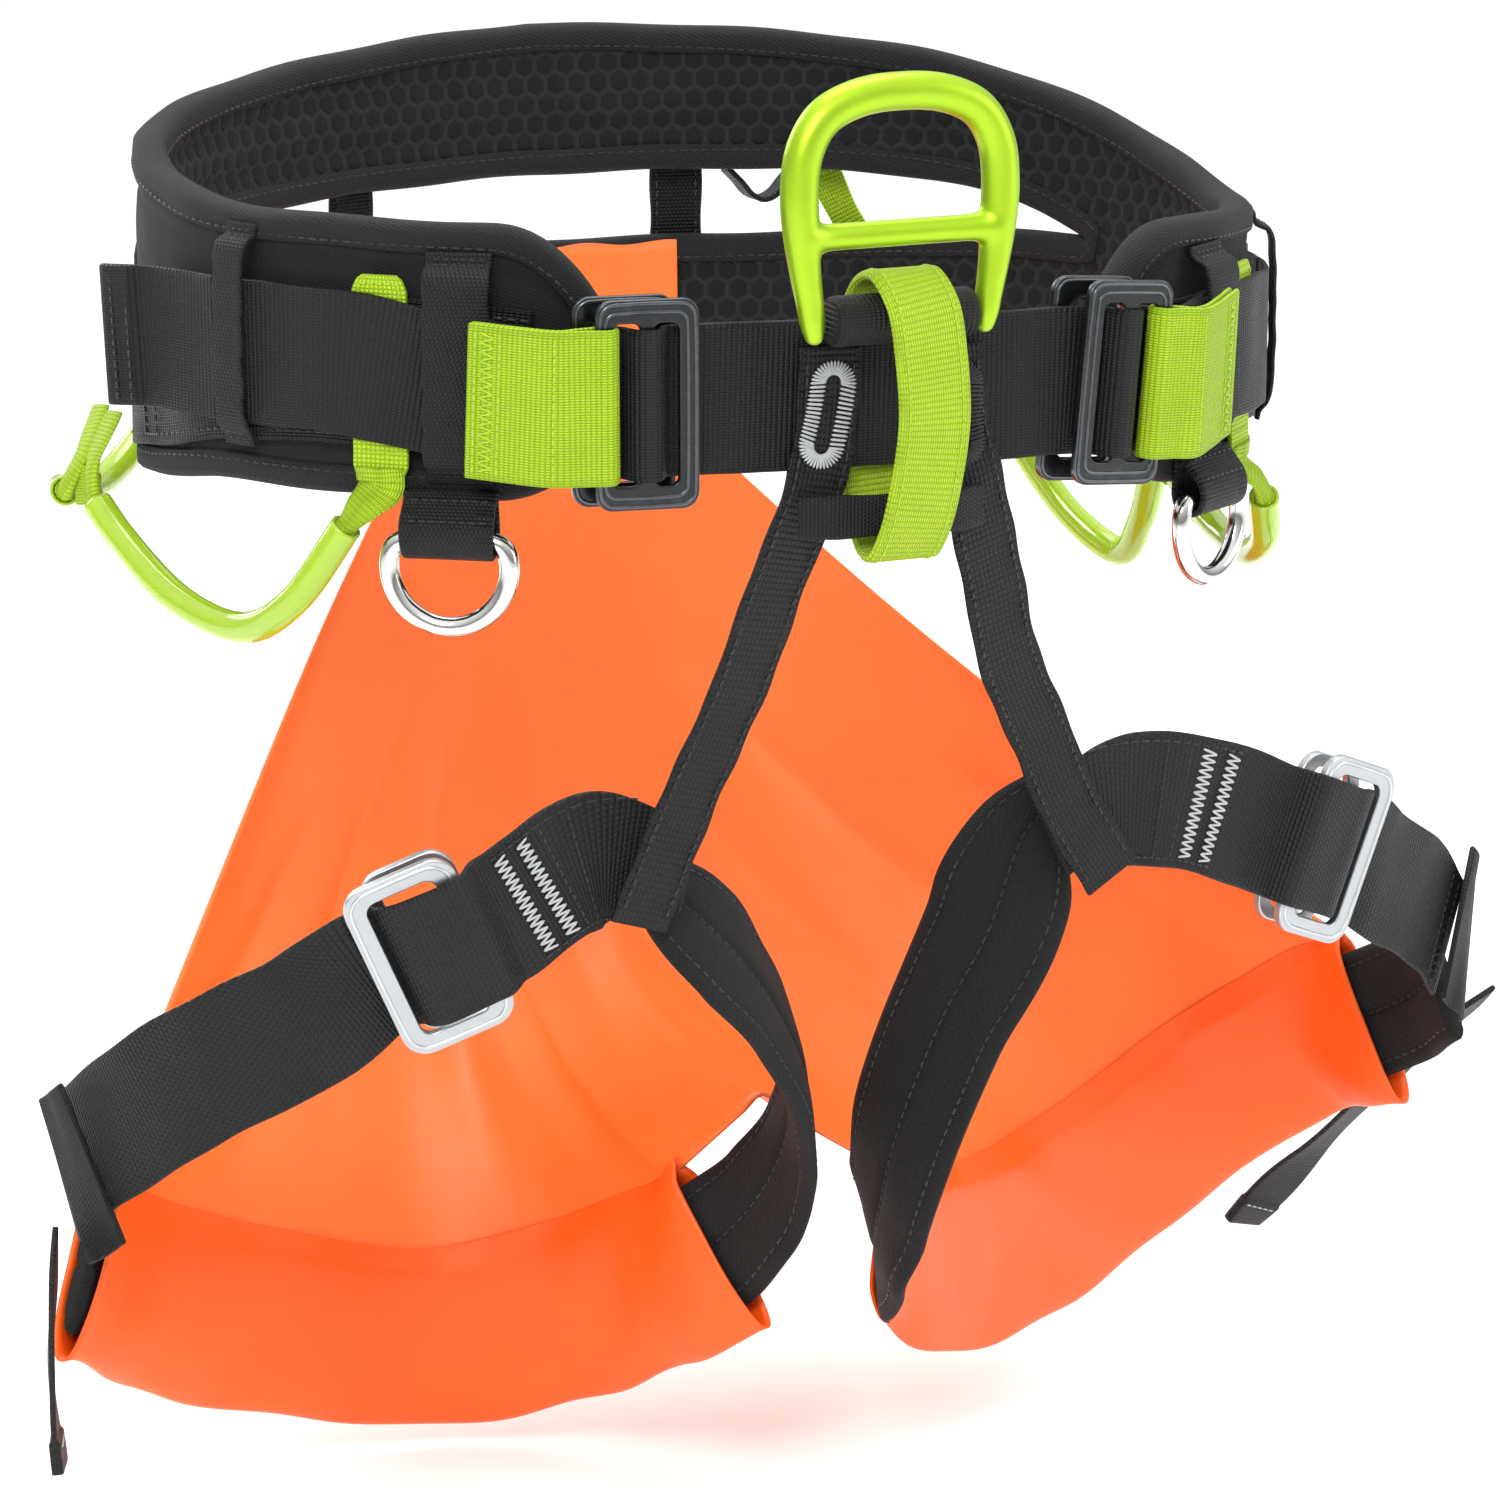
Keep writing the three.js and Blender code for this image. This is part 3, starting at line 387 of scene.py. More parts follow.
def applied(obj):
    """Applies every modifier."""
    bpy.context.view_layer.update()
    mesh = bpy.data.meshes.new_from_object(obj.evaluated_get(bpy.context.evaluated_depsgraph_get()))
    obj.modifiers.clear()
    obj.data = mesh
    mesh.name = obj.name
    return obj


def stitches(name, runs, radius=0.38, sides=5):
    """Sewn thread: each run is a pair of ends of one stitch, lying on the cloth."""
    runs = np.asarray(runs, float)
    points, faces = [], []
    ring = np.linspace(0, 2 * np.pi, sides, endpoint=False)
    for start, end in runs:
        along = end - start
        size = np.linalg.norm(along)
        if size < 1e-6:
            continue
        along /= size
        side = unit(np.cross(along, vec(0.31, 0.52, 0.79)))
        other = np.cross(along, side)
        base = len(points)
        for share, grow in ((0.0, 0.35), (0.14, 1.0), (0.86, 1.0), (1.0, 0.35)):
            centre = start + along * size * share
            points += [centre + radius * grow * (math.cos(r) * side + math.sin(r) * other) for r in ring]
        for i in range(3):
            for k in range(sides):
                m = (k + 1) % sides
                faces.append((base + i * sides + k, base + i * sides + m, base + (i + 1) * sides + m,
                              base + (i + 1) * sides + k))
        faces.append([base + k for k in range(sides)])
        faces.append([base + 3 * sides + k for k in range(sides)])
    return make_mesh(name, points, faces, None)


def dashes(path, line, lift, pitch=3.4, fill=0.72):
    """Running stitches along line, a list of (s, a) on the band. lift is the distance off its middle."""
    line = np.array(line, float)
    run = lengths(line)
    count = max(int(run[-1] / pitch), 1)
    starts = np.arange(count) * run[-1] / count
    ends = starts + fill * run[-1] / count
    on = lambda r: path.at(np.interp(r, run, line[:, 0]), np.interp(r, run, line[:, 1]), lift)
    return np.stack([on(starts), on(ends)], 1)


def crosswise(path, s, half, lift, pitch=3.4, fill=0.72):
    """Running stitches straight across the band at arc length s."""
    return dashes(path, [(s, -half), (s, half)], lift, pitch, fill)


def zigzag(path, s0, s1, a0, a1, reach, lift, count):
    """A zigzag bartack from (s0, a0) to (s1, a1), reach to each side."""
    line = np.linspace(0, 1, count + 1)
    s, a = s0 + (s1 - s0) * line, a0 + (a1 - a0) * line
    side = unit(vec(-(a1 - a0), s1 - s0))
    swing = np.where(np.arange(count + 1) % 2 == 0, reach, -reach)
    p = path.at(s + side[0] * swing, a + side[1] * swing, lift)
    return np.stack([p[:-1], p[1:]], 1)


# ---------------------------------------------------------------- materials
def linear(text):
    """A hex colour as linear light."""
    values = [int(text[i:i + 2], 16) / 255 for i in (0, 2, 4)]
    return [v / 12.92 if v <= 0.04045 else ((v + 0.055) / 1.055) ** 2.4 for v in values] + [1.0]


class Shader:
    """Builds one material's nodes."""

    def __init__(self, name, **settings):
        self.material = bpy.data.materials.new(name)
        self.material.use_nodes = True
        self.tree = self.material.node_tree
        self.surface = self.tree.nodes["Principled BSDF"]
        for key, value in settings.items():
            self.surface.inputs[key].default_value = value
        self.uv = self.tree.nodes.new("ShaderNodeUVMap").outputs[0]
        self.place = self.tree.nodes.new("ShaderNodeTexCoord").outputs["Object"]

    def node(self, kind, **inputs):
        made = self.tree.nodes.new(kind)
        for key, value in inputs.items():
            self.put(made.inputs[key], value)
        return made

    def put(self, socket, value):
        if isinstance(value, bpy.types.NodeSocket):
            self.tree.links.new(value, socket)
        else:
            socket.default_value = value

    def math(self, kind, a, b=0.0, c=0.0):
        made = self.tree.nodes.new("ShaderNodeMath")
        made.operation = kind
        for socket, value in zip(made.inputs, (a, b, c)):
            self.put(socket, value)
        return made.outputs[0]

    def millimetres(self):
        """The cloth's own across and along coordinates."""
        split = self.node("ShaderNodeSeparateXYZ", Vector=self.uv)
        return [self.math("MULTIPLY", split.outputs[k], 1 / MM) for k in (0, 1)]

    def noise(self, scale, detail=2.0, rough=0.5, where=None):
        made = self.node("ShaderNodeTexNoise", Scale=scale, Detail=detail, Roughness=rough)
        self.put(made.inputs["Vector"], self.place if where is None else where)
        return made.outputs["Fac"]

    def mix(self, share, a, b):
        made = self.tree.nodes.new("ShaderNodeMix")
        made.data_type = "RGBA"
        self.put(made.inputs[0], share)
        self.put(made.inputs[6], a)
        self.put(made.inputs[7], b)
        return made.outputs[2]

    def remap(self, value, low, high, to_low, to_high):
        made = self.node("ShaderNodeMapRange", **{"Value": value, "From Min": low, "From Max": high,
                                                  "To Min": to_low, "To Max": to_high})
        return made.outputs[0]

    def bump(self, height, distance, strength=1.0, under=None):
        made = self.node("ShaderNodeBump", Height=height, Distance=distance * MM, Strength=strength)
        if under is not None:
            self.put(made.inputs["Normal"], under)
        return made.outputs[0]

    def set(self, **sockets):
        for key, value in sockets.items():
            self.put(self.surface.inputs[key.replace("_", " ")], value)

    def weave(self, across, along, pitch_across, pitch_along, shift):
        """Thread heights of a woven cloth: shift 0.5 is a plain weave, 0.25 a twill."""
        row = self.math("DIVIDE", along, pitch_along)
        step = self.math("MULTIPLY", self.math("FLOOR", row), shift)
        column = self.math("ADD", self.math("DIVIDE", across, pitch_across), step)
        lift = []
        for value in (column, row):
            centred = self.math("MULTIPLY_ADD", self.math("FRACT", value), 2.0, -1.0)
            lift.append(self.math("SUBTRACT", 1.0, self.math("MULTIPLY", centred, centred)))
        return self.math("MULTIPLY", self.math("POWER", lift[0], 0.7), self.math("POWER", lift[1], 0.7))


def webbing(name, dark, light, pitch, shift, depth, roughness, sheen, sheen_colour="9a9ea4", edge=None,
            half_width=None):
    """Woven webbing: threads, a tighter edge, slight fading and fuzz."""
    m = Shader(name)
    across, along = m.millimetres()
    thread = m.weave(across, along, pitch[0], pitch[1], shift)
    blotch = m.noise(60.0, 4.0, 0.6)
    fleck = m.noise(1500.0, 2.0, 0.7)
    tone = m.math("MULTIPLY_ADD", thread, 0.75, m.math("MULTIPLY", blotch, 0.35))
    tone = m.math("MULTIPLY_ADD", fleck, 0.25, m.math("SUBTRACT", tone, 0.2))
    colour = m.mix(m.math("MINIMUM", m.math("MAXIMUM", tone, 0.0), 1.0), linear(dark), linear(light))
    height = m.math("MULTIPLY_ADD", fleck, 0.25, thread)
    if half_width:
        rim = m.remap(m.math("ABSOLUTE", across), half_width - 1.8, half_width - 1.0, 0.0, 1.0)
        cord = m.math("SINE", m.math("MULTIPLY", along, 2 * math.pi / 1.6))
        height = m.math("ADD", height, m.math("MULTIPLY", rim, m.math("MULTIPLY_ADD", cord, 0.35, 0.6)))
        colour = m.mix(m.math("MULTIPLY", rim, 0.4), colour, linear(edge or dark))
    m.set(Base_Color=colour, Normal=m.bump(height, depth),
          Roughness=m.math("MULTIPLY_ADD", blotch, 0.2, roughness - 0.1))
    m.set(Sheen_Weight=sheen, Sheen_Roughness=0.4, Sheen_Tint=linear(sheen_colour), Specular_IOR_Level=0.32)
    return m.material


def twill(name, dark, light, pitch=1.3, depth=0.25, sheen=0.3):
    """Diagonal weave of the edge binding and the pads' outer fabric."""
    m = Shader(name)
    across, along = m.millimetres()
    thread = m.weave(across, along, pitch, 0.8, 0.28)
    blotch = m.noise(45.0, 4.0, 0.6)
    fleck = m.noise(1300.0, 2.0, 0.7)
    tone = m.math("MULTIPLY_ADD", thread, 0.6, m.math("MULTIPLY", blotch, 0.45))
    m.set(Base_Color=m.mix(m.math("MINIMUM", tone, 1.0), linear(dark), linear(light)),
          Normal=m.bump(m.math("MULTIPLY_ADD", fleck, 0.3, thread), depth),
          Roughness=m.math("MULTIPLY_ADD", blotch, 0.15, 0.7))
    m.set(Sheen_Weight=sheen, Sheen_Roughness=0.45, Sheen_Tint=linear("8e9298"), Specular_IOR_Level=0.35)
    return m.material


def honeycomb(name):
    """Three-dimensional mesh: a soft net of hexagons over a darker layer."""
    m = Shader(name)
    across, along = m.millimetres()
    cell = 7.4
    high = cell * math.sqrt(3)
    near = []
    for shift_x, shift_y in ((0.0, 0.0), (cell / 2, high / 2)):
        x = m.math("SUBTRACT", m.math("FLOORED_MODULO", m.math("ADD", along, shift_x), cell), cell / 2)
        y = m.math("SUBTRACT", m.math("FLOORED_MODULO", m.math("ADD", across, shift_y), high), high / 2)
        x, y = m.math("ABSOLUTE", x), m.math("ABSOLUTE", y)
        slant = m.math("MULTIPLY_ADD", x, 0.5, m.math("MULTIPLY", y, math.sqrt(3) / 2))
        near.append(m.math("MAXIMUM", x, slant))
    reach = m.math("MINIMUM", near[0], near[1])
    wall = m.remap(reach, cell / 2 - 1.25, cell / 2 - 0.55, 0.0, 1.0)
    dome = m.remap(reach, 0.0, cell / 2 - 1.0, 1.0, 0.35)
    knit = m.weave(across, along, 0.8, 0.7, 0.5)
    fleck = m.noise(1400.0, 2.0, 0.7)
    blotch = m.noise(40.0, 4.0, 0.6)
    tone = m.math("MULTIPLY_ADD", wall, 0.5, m.math("MULTIPLY", m.math("MULTIPLY", knit, blotch), 0.75))
    colour = m.mix(m.math("MINIMUM", tone, 1.0), linear("050506"), linear("26282b"))
    height = m.math("MULTIPLY_ADD", wall, -0.9, m.math("MULTIPLY_ADD", knit, 0.16, dome))
    m.set(Base_Color=colour, Normal=m.bump(m.math("MULTIPLY_ADD", fleck, 0.06, height), 0.8), Roughness=0.8)
    m.set(Sheen_Weight=0.12, Sheen_Roughness=0.5, Sheen_Tint=linear("8e9298"), Specular_IOR_Level=0.25)
    return m.material


def coated(name, low="f65608", high="fb620e"):
    """Smooth coated fabric: almost plain, with a faint weave showing through and soft creases. Its colour
    carries painted shade: darker (low) in the hollows of the creases, lighter (high) on their crests.
    """
    m = Shader(name)
    across, along = m.millimetres()
    thread = m.weave(across, along, 1.1, 1.1, 0.5)
    crease_and_shade = m.noise(9.0, 5.0, 0.55)
    fine = m.noise(420.0, 3.0, 0.6)
    scuff = m.remap(m.noise(32.0, 6.0, 0.72), 0.56, 0.76, 0.0, 1.0)
    # painted shade: the same noise that raises the creases darkens the colour in their hollows
    colour = m.mix(crease_and_shade, linear(low), linear(high))
    colour = m.mix(m.math("MULTIPLY", scuff, 0.12), colour, linear("ff8640"))
    height = m.math("MULTIPLY_ADD", thread, 0.05,
                    m.math("MULTIPLY_ADD", fine, 0.1, m.math("MULTIPLY", crease_and_shade, 6.0)))
    m.set(Base_Color=colour, Normal=m.bump(height, 0.5),
          Roughness=m.math("MULTIPLY_ADD", scuff, 0.14, m.math("MULTIPLY_ADD", fine, 0.1, 0.4)))
    m.set(Specular_IOR_Level=0.42, Coat_Weight=0.08, Coat_Roughness=0.35)
    return m.material


def metal(name, colour, roughness, metallic=1.0, grain=0.0, coat=0.0, edge_highlight=None, speck=0.02):
    """Metal with handling marks, and a painted highlight: a lighter colour on its sharp convex edges."""
    m = Shader(name)
    smear = m.noise(70.0, 5.0, 0.65)
    fine = m.noise(2600.0, 2.0, 0.6)
    base = linear(colour)
    shade = [c * 0.86 for c in base[:3]] + [1.0]
    tint = m.mix(smear, shade, base)
    if edge_highlight:
        # painted highlight: the colour turns lighter on sharp convex edges, where they catch the light
        edge = m.node("ShaderNodeNewGeometry").outputs["Pointiness"]
        edge_highlight_share = m.remap(m.math("MULTIPLY_ADD", m.noise(300.0, 4.0, 0.7), 0.05, edge), 0.545, 0.6, 0.0, 0.7)
        tint = m.mix(edge_highlight_share, tint, linear(edge_highlight))
    m.set(Base_Color=tint, Roughness=m.math("MULTIPLY_ADD", smear, 0.12, roughness - 0.05),
          Normal=m.bump(m.math("MULTIPLY_ADD", smear, 0.3, m.math("MULTIPLY", fine, 1.0)), speck + grain))
    m.set(Metallic=metallic, Coat_Weight=coat, Coat_Roughness=0.12)
    return m.material


def thread(name, dark, light):
    """Twisted sewing thread."""
    m = Shader(name)
    twist = m.noise(900.0, 3.0, 0.7)
    m.set(Base_Color=m.mix(twist, linear(dark), linear(light)), Roughness=0.6, Normal=m.bump(twist, 0.15))
    m.set(Sheen_Weight=0.3, Sheen_Roughness=0.4)
    return m.material


def clear(name):
    """Clear flexible tube with a lime cast, slightly clouded by handling."""
    m = Shader(name)
    haze = m.noise(180.0, 4.0, 0.6)
    m.set(Base_Color=linear("cdf03c"), Roughness=m.math("MULTIPLY_ADD", haze, 0.1, 0.08),
          Normal=m.bump(haze, 0.12))
    m.set(Transmission_Weight=0.55, IOR=1.42, Specular_IOR_Level=0.6, Coat_Weight=0.6, Coat_Roughness=0.08)
    return m.material


MATS = {
    "belt_web": webbing("belt_webbing", "030304", "131416", (0.9, 1.7), 0.0, 0.5, 0.5, 0.05, half_width=22.5),
    "leg_web": webbing("leg_webbing", "030304", "101112", (1.3, 1.5), 0.34, 0.4, 0.52, 0.05, half_width=21.5),
    "tape": webbing("narrow_webbing", "030404", "101113", (1.3, 1.2), 0.5, 0.4, 0.55, 0.06, half_width=10.0),
    "riser": webbing("ribbed_tape", "030304", "121315", (1.5, 2.1), 0.0, 0.6, 0.52, 0.06, half_width=10.0),
    "elastic": webbing("keeper_elastic", "040505", "151618", (1.4, 1.1), 0.27, 0.4, 0.6, 0.1),
    "lime_tab": webbing("tab_webbing", "7c9e06", "b6d61c", (0.8, 1.6), 0.0, 0.5, 0.55, 0.12, "d2ec78",
                        edge="8cae10", half_width=22.5),
    "lime_loop": webbing("loop_webbing", "86a60a", "bedc2c", (0.75, 1.75), 0.0, 0.55, 0.55, 0.14, "dcf090",
                         edge="9cbe1a", half_width=11.5),
    "lime_tape": webbing("narrow_lime_webbing", "7c9e08", "b4d220", (0.9, 1.4), 0.0, 0.4, 0.55, 0.14,
                         "d2ec78"),
    "binding": twill("edge_binding", "050606", "1a1c1e", 1.3, 0.3, 0.12),
    "pad_cloth": twill("pad_cloth", "040405", "121315", 1.0, 0.2, 0.1),
    "leg_cloth": twill("leg_pad_cloth", "030304", "0e0f10", 1.5, 0.35, 0.07),
    "mesh": honeycomb("honeycomb_mesh"),
    "orange": coated("orange_coated"),
    # painted light: a lighter copy of orange_coated for the sheet, which is the sleeves' fabric lit from
    # above
    "sheet": coated("orange_sheet_painted_light", "fa661a", "ff7c34"),
    # The last colour given to the ring, satin and plate metals is their painted edge highlight.
    "ring": metal("lime_anodised", "a8cf24", 0.4, 0.75, 0.0, 0.12, "d2e48c"),
    "steel": metal("polished_steel", "d8d9d6", 0.1, 1.0, 0.0, 0.0, None, 0.01),
    "satin": metal("satin_aluminium", "b4b8bb", 0.34, 0.9, 0.03, 0.0, "d8dadb"),
    "plate": metal("black_plate", "26282a", 0.27, 0.8, 0.0, 0.4, "6a6d71"),
    "tube": clear("clear_tube"),
    "grey_thread": thread("grey_thread", "8f9294", "c6c8c8"),
    "black_thread": thread("black_thread", "050506", "191a1c"),
    "green_thread": thread("green_thread", "8aac10", "aed022"),
}


def fit(obj, body, look, *nodes):
    """Gives a finished piece its material, the body that it rides on and the CAD nodes it stands for."""
    if look:
        obj.data.materials.clear()
        obj.data.materials.append(MATS[look])
    if nodes:
        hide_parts(*nodes)
    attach(obj, body)
    return obj


def sew(name, runs, radius, look="black_thread", body="saddle"):
    """One object of thread from several runs of stitches."""
    return fit(stitches(name, np.vstack(runs), radius), body, look)


# ---------------------------------------------------------------- camera, floor and lights
def look_at(obj, target):
    obj.rotation_euler = (Vector(target) - obj.location).to_track_quat("-Z", "Y").to_euler()


LIGHTS = (("key", (-1.3, -1.7, 1.5), 0.9, 38.0), ("fill", (1.7, -1.1, 0.5), 1.2, 12.0),
          ("top", (0.2, 0.5, 2.0), 1.3, 26.0), ("back", (-0.6, 1.9, 0.7), 1.0, 14.0))


def studio():
    """Camera, pale floor, bright world and four soft lights."""
    azimuth, elevation, distance = math.radians(-25), math.radians(13), 2.2
    target = Vector((0.015, -0.008, -0.139))
    back = Vector((math.sin(azimuth) * math.cos(elevation), -math.cos(azimuth) * math.cos(elevation),
                   math.sin(elevation)))
    lens = bpy.data.cameras.new("camera")
    lens.sensor_width, lens.lens, lens.clip_end = 36.0, 166.3, 50.0
    camera = add("camera", lens)
    camera.location = target + back * distance
    look_at(camera, target)
    bpy.context.scene.camera = camera

    size, low = 6000.0, CAD_BOX[0].z / MM - 8.0
    corners = [(x * size, y * size, low) for x, y in ((-1, -1), (1, -1), (1, 1), (-1, 1))]
    floor = make_mesh("floor", corners, [(0, 1, 2, 3)], None, False)
    pale = Shader("pale_floor", Roughness=0.9)
    pale.set(Base_Color=pale.mix(pale.noise(3.0, 2.0), (0.93, 0.93, 0.93, 1), (0.96, 0.96, 0.96, 1)))
    floor.data.materials.append(pale.material)

    world = bpy.data.worlds.new("studio")
    world.use_nodes = True
    tree = world.node_tree
    split = tree.nodes.new("ShaderNodeSeparateXYZ")
    tree.links.new(tree.nodes.new("ShaderNodeTexCoord").outputs["Generated"], split.inputs[0])
    fade = tree.nodes.new("ShaderNodeMapRange")
    for socket, value in (("From Min", 0.0), ("From Max", 0.75), ("To Min", 0.3), ("To Max", 1.25)):
        fade.inputs[socket].default_value = value
    tree.links.new(split.outputs[2], fade.inputs["Value"])
    background = tree.nodes["Background"]
    background.inputs[0].default_value = (1.0, 1.0, 1.0, 1.0)
    tree.links.new(fade.outputs[0], background.inputs[1])
    bpy.context.scene.world = world
    for name, place, size, power in LIGHTS:
        lamp = bpy.data.lights.new(name, "AREA")
        lamp.size, lamp.energy = size, power
        light = add(name, lamp)
        light.location = place
        look_at(light, (0.0, 0.0, -0.1))
    bpy.context.scene.view_settings.view_transform = "Standard"


studio()


# ---------------------------------------------------------------- waist pad
def pad_edges(theta):
    """Top and bottom of the pad, with its ends rounded."""
    theta = np.asarray(theta, float)
    nearest = np.clip(np.minimum(theta - PAD_ENDS[0], PAD_ENDS[1] - theta), 0.15, PAD_ROUND)
    share = np.sqrt(1 - (1 - nearest / PAD_ROUND) ** 2)
    top, bottom = height_at(PAD_TOP, theta), height_at(PAD_BOTTOM, theta)
    return (top + bottom) / 2 + (top - bottom) / 2 * share, (top + bottom) / 2 - (top - bottom) / 2 * share


def arc_table():
    """Angles round the belt and the length run to each, at the pad's middle."""
    theta = np.linspace(-80, 260, 1400)
    p = belt(theta, PAD_THICK / 2)[0]
    return theta, lengths(p)


ARC = arc_table()


def around(theta):
    """Length along the belt at an angle."""
    return np.interp(theta, *ARC)


def angle_of(x, y):
    """A point's angle round the belt."""
    theta = np.degrees(np.arctan2(y / BELT_HALF[1], x / BELT_HALF[0]))
    return np.where(theta < -85, theta + 360, theta)


PAD_SEAMS = (213.0, 203.0, 100.0, 88.0, 30.0, -22.0, -34.0)


def pad_surface(theta, share, outer):
    """The pad's face: puffed between its stitched channels. share runs 0 to 1 from bottom to top."""
    top, bottom = pad_edges(theta)
    z = bottom + (top - bottom) * share
    from_edge = np.minimum(z - bottom, top - z)
    lens_low, lens_high = height_at(LENS_BOTTOM, theta), height_at(LENS_TOP, theta)
    inside = (theta > 15) & (theta < 165)
    from_lens = np.where(inside, np.minimum(np.abs(z - lens_low), np.abs(z - lens_high)), 99.0)
    from_lens = np.where(inside & (z > lens_low) & (z < lens_high), 0.0, from_lens)
    near = np.minimum(from_edge, from_lens)
    channel = np.exp(-((near - 12.5) / 1.5) ** 2)
    crown = smoothstep(near, 12.0, 26.0)
    seam = np.zeros_like(theta)
    for place in PAD_SEAMS:
        gap = (around(theta) - around(place)) / 1.7
        seam = np.maximum(seam, np.exp(-gap**2))
    ripple = 0.35 * np.sin(theta * 0.55 + 3 * share) * np.sin(z * 0.11 + theta * 0.07)
    rise = 1.2 * crown - 1.0 * channel - 1.1 * seam * smoothstep(near, 8, 14) + ripple * crown
    offset = PAD_THICK - 0.7 + 0.6 * rise if outer else 0.6 - rise
    return z, offset


def waist_pad():
    """The padded belt with its long rear opening: net inside, cloth outside and at the ends."""
    theta = np.linspace(PAD_ENDS[0] + 0.2, PAD_ENDS[1] - 0.2, 420)
    share = np.linspace(0.02, 0.98, 44)
    rings = []
    base, out = belt(theta)
    for outer in (False, True):
        grid, level = np.meshgrid(theta, share, indexing="ij")
        z, offset = pad_surface(grid, level, outer)
        p = base[:, None, :] + out[:, None, :] * offset[..., None]
        p[..., 2] = z
        rings.append(p if not outer else p[:, ::-1])
    middle_top = base + out * (PAD_THICK / 2)
    middle_bottom = middle_top.copy()
    middle_top[:, 2], middle_bottom[:, 2] = pad_edges(theta)
    ring = np.concatenate([rings[0], middle_top[:, None], rings[1], middle_bottom[:, None]], 1)
    index = np.arange(ring.shape[0] * ring.shape[1]).reshape(ring.shape[:2])
    pad = make_mesh("pad_body", ring.reshape(-1, 3), tube_faces(index))

    angle = np.linspace(18, 162, 120)
    low, high = height_at(LENS_BOTTOM, angle), height_at(LENS_TOP, angle)
    high = np.maximum(high, low + 0.3)
    base, out = belt(angle)
    corner = lambda z, offset: np.column_stack([(base + out * offset)[:, :2], z])
    loop = np.stack([corner(low, -6), corner(high, -6), corner(high, 16), corner(low, 16)], 1)
    index = np.arange(len(angle) * 4).reshape(-1, 4)
    cutter = make_mesh("lens_cutter", loop.reshape(-1, 3), tube_faces(index))
    cut = pad.modifiers.new("lens", "BOOLEAN")
    cut.operation, cut.object, cut.solver = "DIFFERENCE", cutter, "EXACT"
    applied(pad)
    bpy.data.objects.remove(cutter)
    mesh = pad.data
    rework(mesh, lambda work: bmesh.ops.triangulate(work, faces=[f for f in work.faces if len(f.verts) > 4]))
    co = read(mesh.vertices, "co") / MM
    corner_vertex = read(mesh.loops, "vertex_index", 1, np.int32)
    run = around(angle_of(co[:, 0], co[:, 1]))
    uv = np.stack([co[:, 2], run], 1)[corner_vertex] * MM
    layer = mesh.uv_layers.new(name="UVMap") if not mesh.uv_layers else mesh.uv_layers[0]
    layer.data.foreach_set("uv", uv.astype(np.float32).ravel())
    mesh.materials.clear()
    mesh.materials.append(MATS["mesh"])
    mesh.materials.append(MATS["pad_cloth"])
    centre, normal = read(mesh.polygons, "center") / MM, read(mesh.polygons, "normal")
    angle = angle_of(centre[:, 0], centre[:, 1])
    outward = np.sum(belt(angle)[1] * normal, 1)
    plain = (outward > -0.35) | (angle > 203) | (angle < -34)
    mesh.polygons.foreach_set("material_index", plain.astype(np.int32))
    mesh.polygons.foreach_set("use_smooth", [True] * len(mesh.polygons))
    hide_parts("waist_pad")
    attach(pad, "saddle")


class Edge:
    """Frames along an edge of the pad: u points away from the cloth, v away from the wearer."""

    def __init__(self, theta, z, flip=1):
        p, out = belt(theta, PAD_THICK / 2, z)
        run = lengths(np.vstack([p, p[:1]]))
        count = int(run[-1] / 2.0)
        s = np.linspace(0, run[-1], count + 1)
        ends = lambda rows: np.vstack([rows, rows[:1]])
        wrap = lambda rows: np.stack([np.interp(s, run, ends(rows)[:, k]) for k in range(3)], 1)
        self.origin, self.v = wrap(p), unit(wrap(out))
        step = np.roll(self.origin[:-1], -1, 0) - np.roll(self.origin[:-1], 1, 0)
        tangent = unit(step)
        self.tangent = np.vstack([tangent, tangent[:1]])
        self.u = unit(np.cross(self.tangent, self.v) * flip)
        self.s, self.closed = s, True

    at = Path.at
    length = Path.length


def edge_binding():
    """Folded tape round the pad's outline and round the long opening, with its stitch lines."""
    phi = np.linspace(0.16, np.pi / 2, 16)
    left = PAD_ENDS[0] + PAD_ROUND * (1 - np.cos(phi))
    middle = np.linspace(left[-1], PAD_ENDS[1] - PAD_ROUND, 200)[1:-1]
    theta = np.concatenate([left, middle, PAD_ENDS[1] - (left[::-1] - PAD_ENDS[0])])
    top, bottom = pad_edges(theta)
    outline = Edge(np.concatenate([theta, theta[::-1]]), np.concatenate([top, bottom[::-1]]), -1)
    angle = np.linspace(19.5, 160.5, 130)
    low, high = height_at(LENS_BOTTOM, angle), height_at(LENS_TOP, angle)
    opening = Edge(np.concatenate([angle, angle[::-1]]), np.concatenate([high, low[::-1]]), 1)
    half = PAD_THICK / 2
    section = np.array([(-7.2, half + 0.1), (-6.6, half + 0.75), (-3.5, half + 0.95), (-0.8, half + 0.7),
                        (0.6, half - 0.6), (1.3, half - 2.2), (1.6, 0)])
    section = np.vstack([section, (section * [1, -1])[-2::-1]])
    runs = []
    for name, path in (("edge_binding", outline), ("opening_binding", opening)):
        rows = per_ring(path, section)
        rows[..., 0] += 0.3 * np.sin(path.s / 9.0)[:, None]
        rows[..., 1] *= (1 + 0.035 * np.sin(path.s / 6.1 + 1))[:, None]
        fit(sweep(name, path, rows, True), "saddle", "binding")
        for lift in (half + 0.85, -half - 0.85):
            runs.append(dashes(path, [(s, -5.4) for s in path.s], lift, 3.6, 0.7))
    sew("binding_stitches", runs, 0.3)


def belt_path(start, end, offset, height, step=1.6):
    """A path round the belt from one angle to another."""
    count = max(int(abs(around(end) - around(start)) / 6), 3)
    theta = np.linspace(start, end, count + 1)
    z = height(theta) if callable(height) else np.full_like(theta, height)
    p, out = belt(theta, offset, z)
    return Path(p, step)


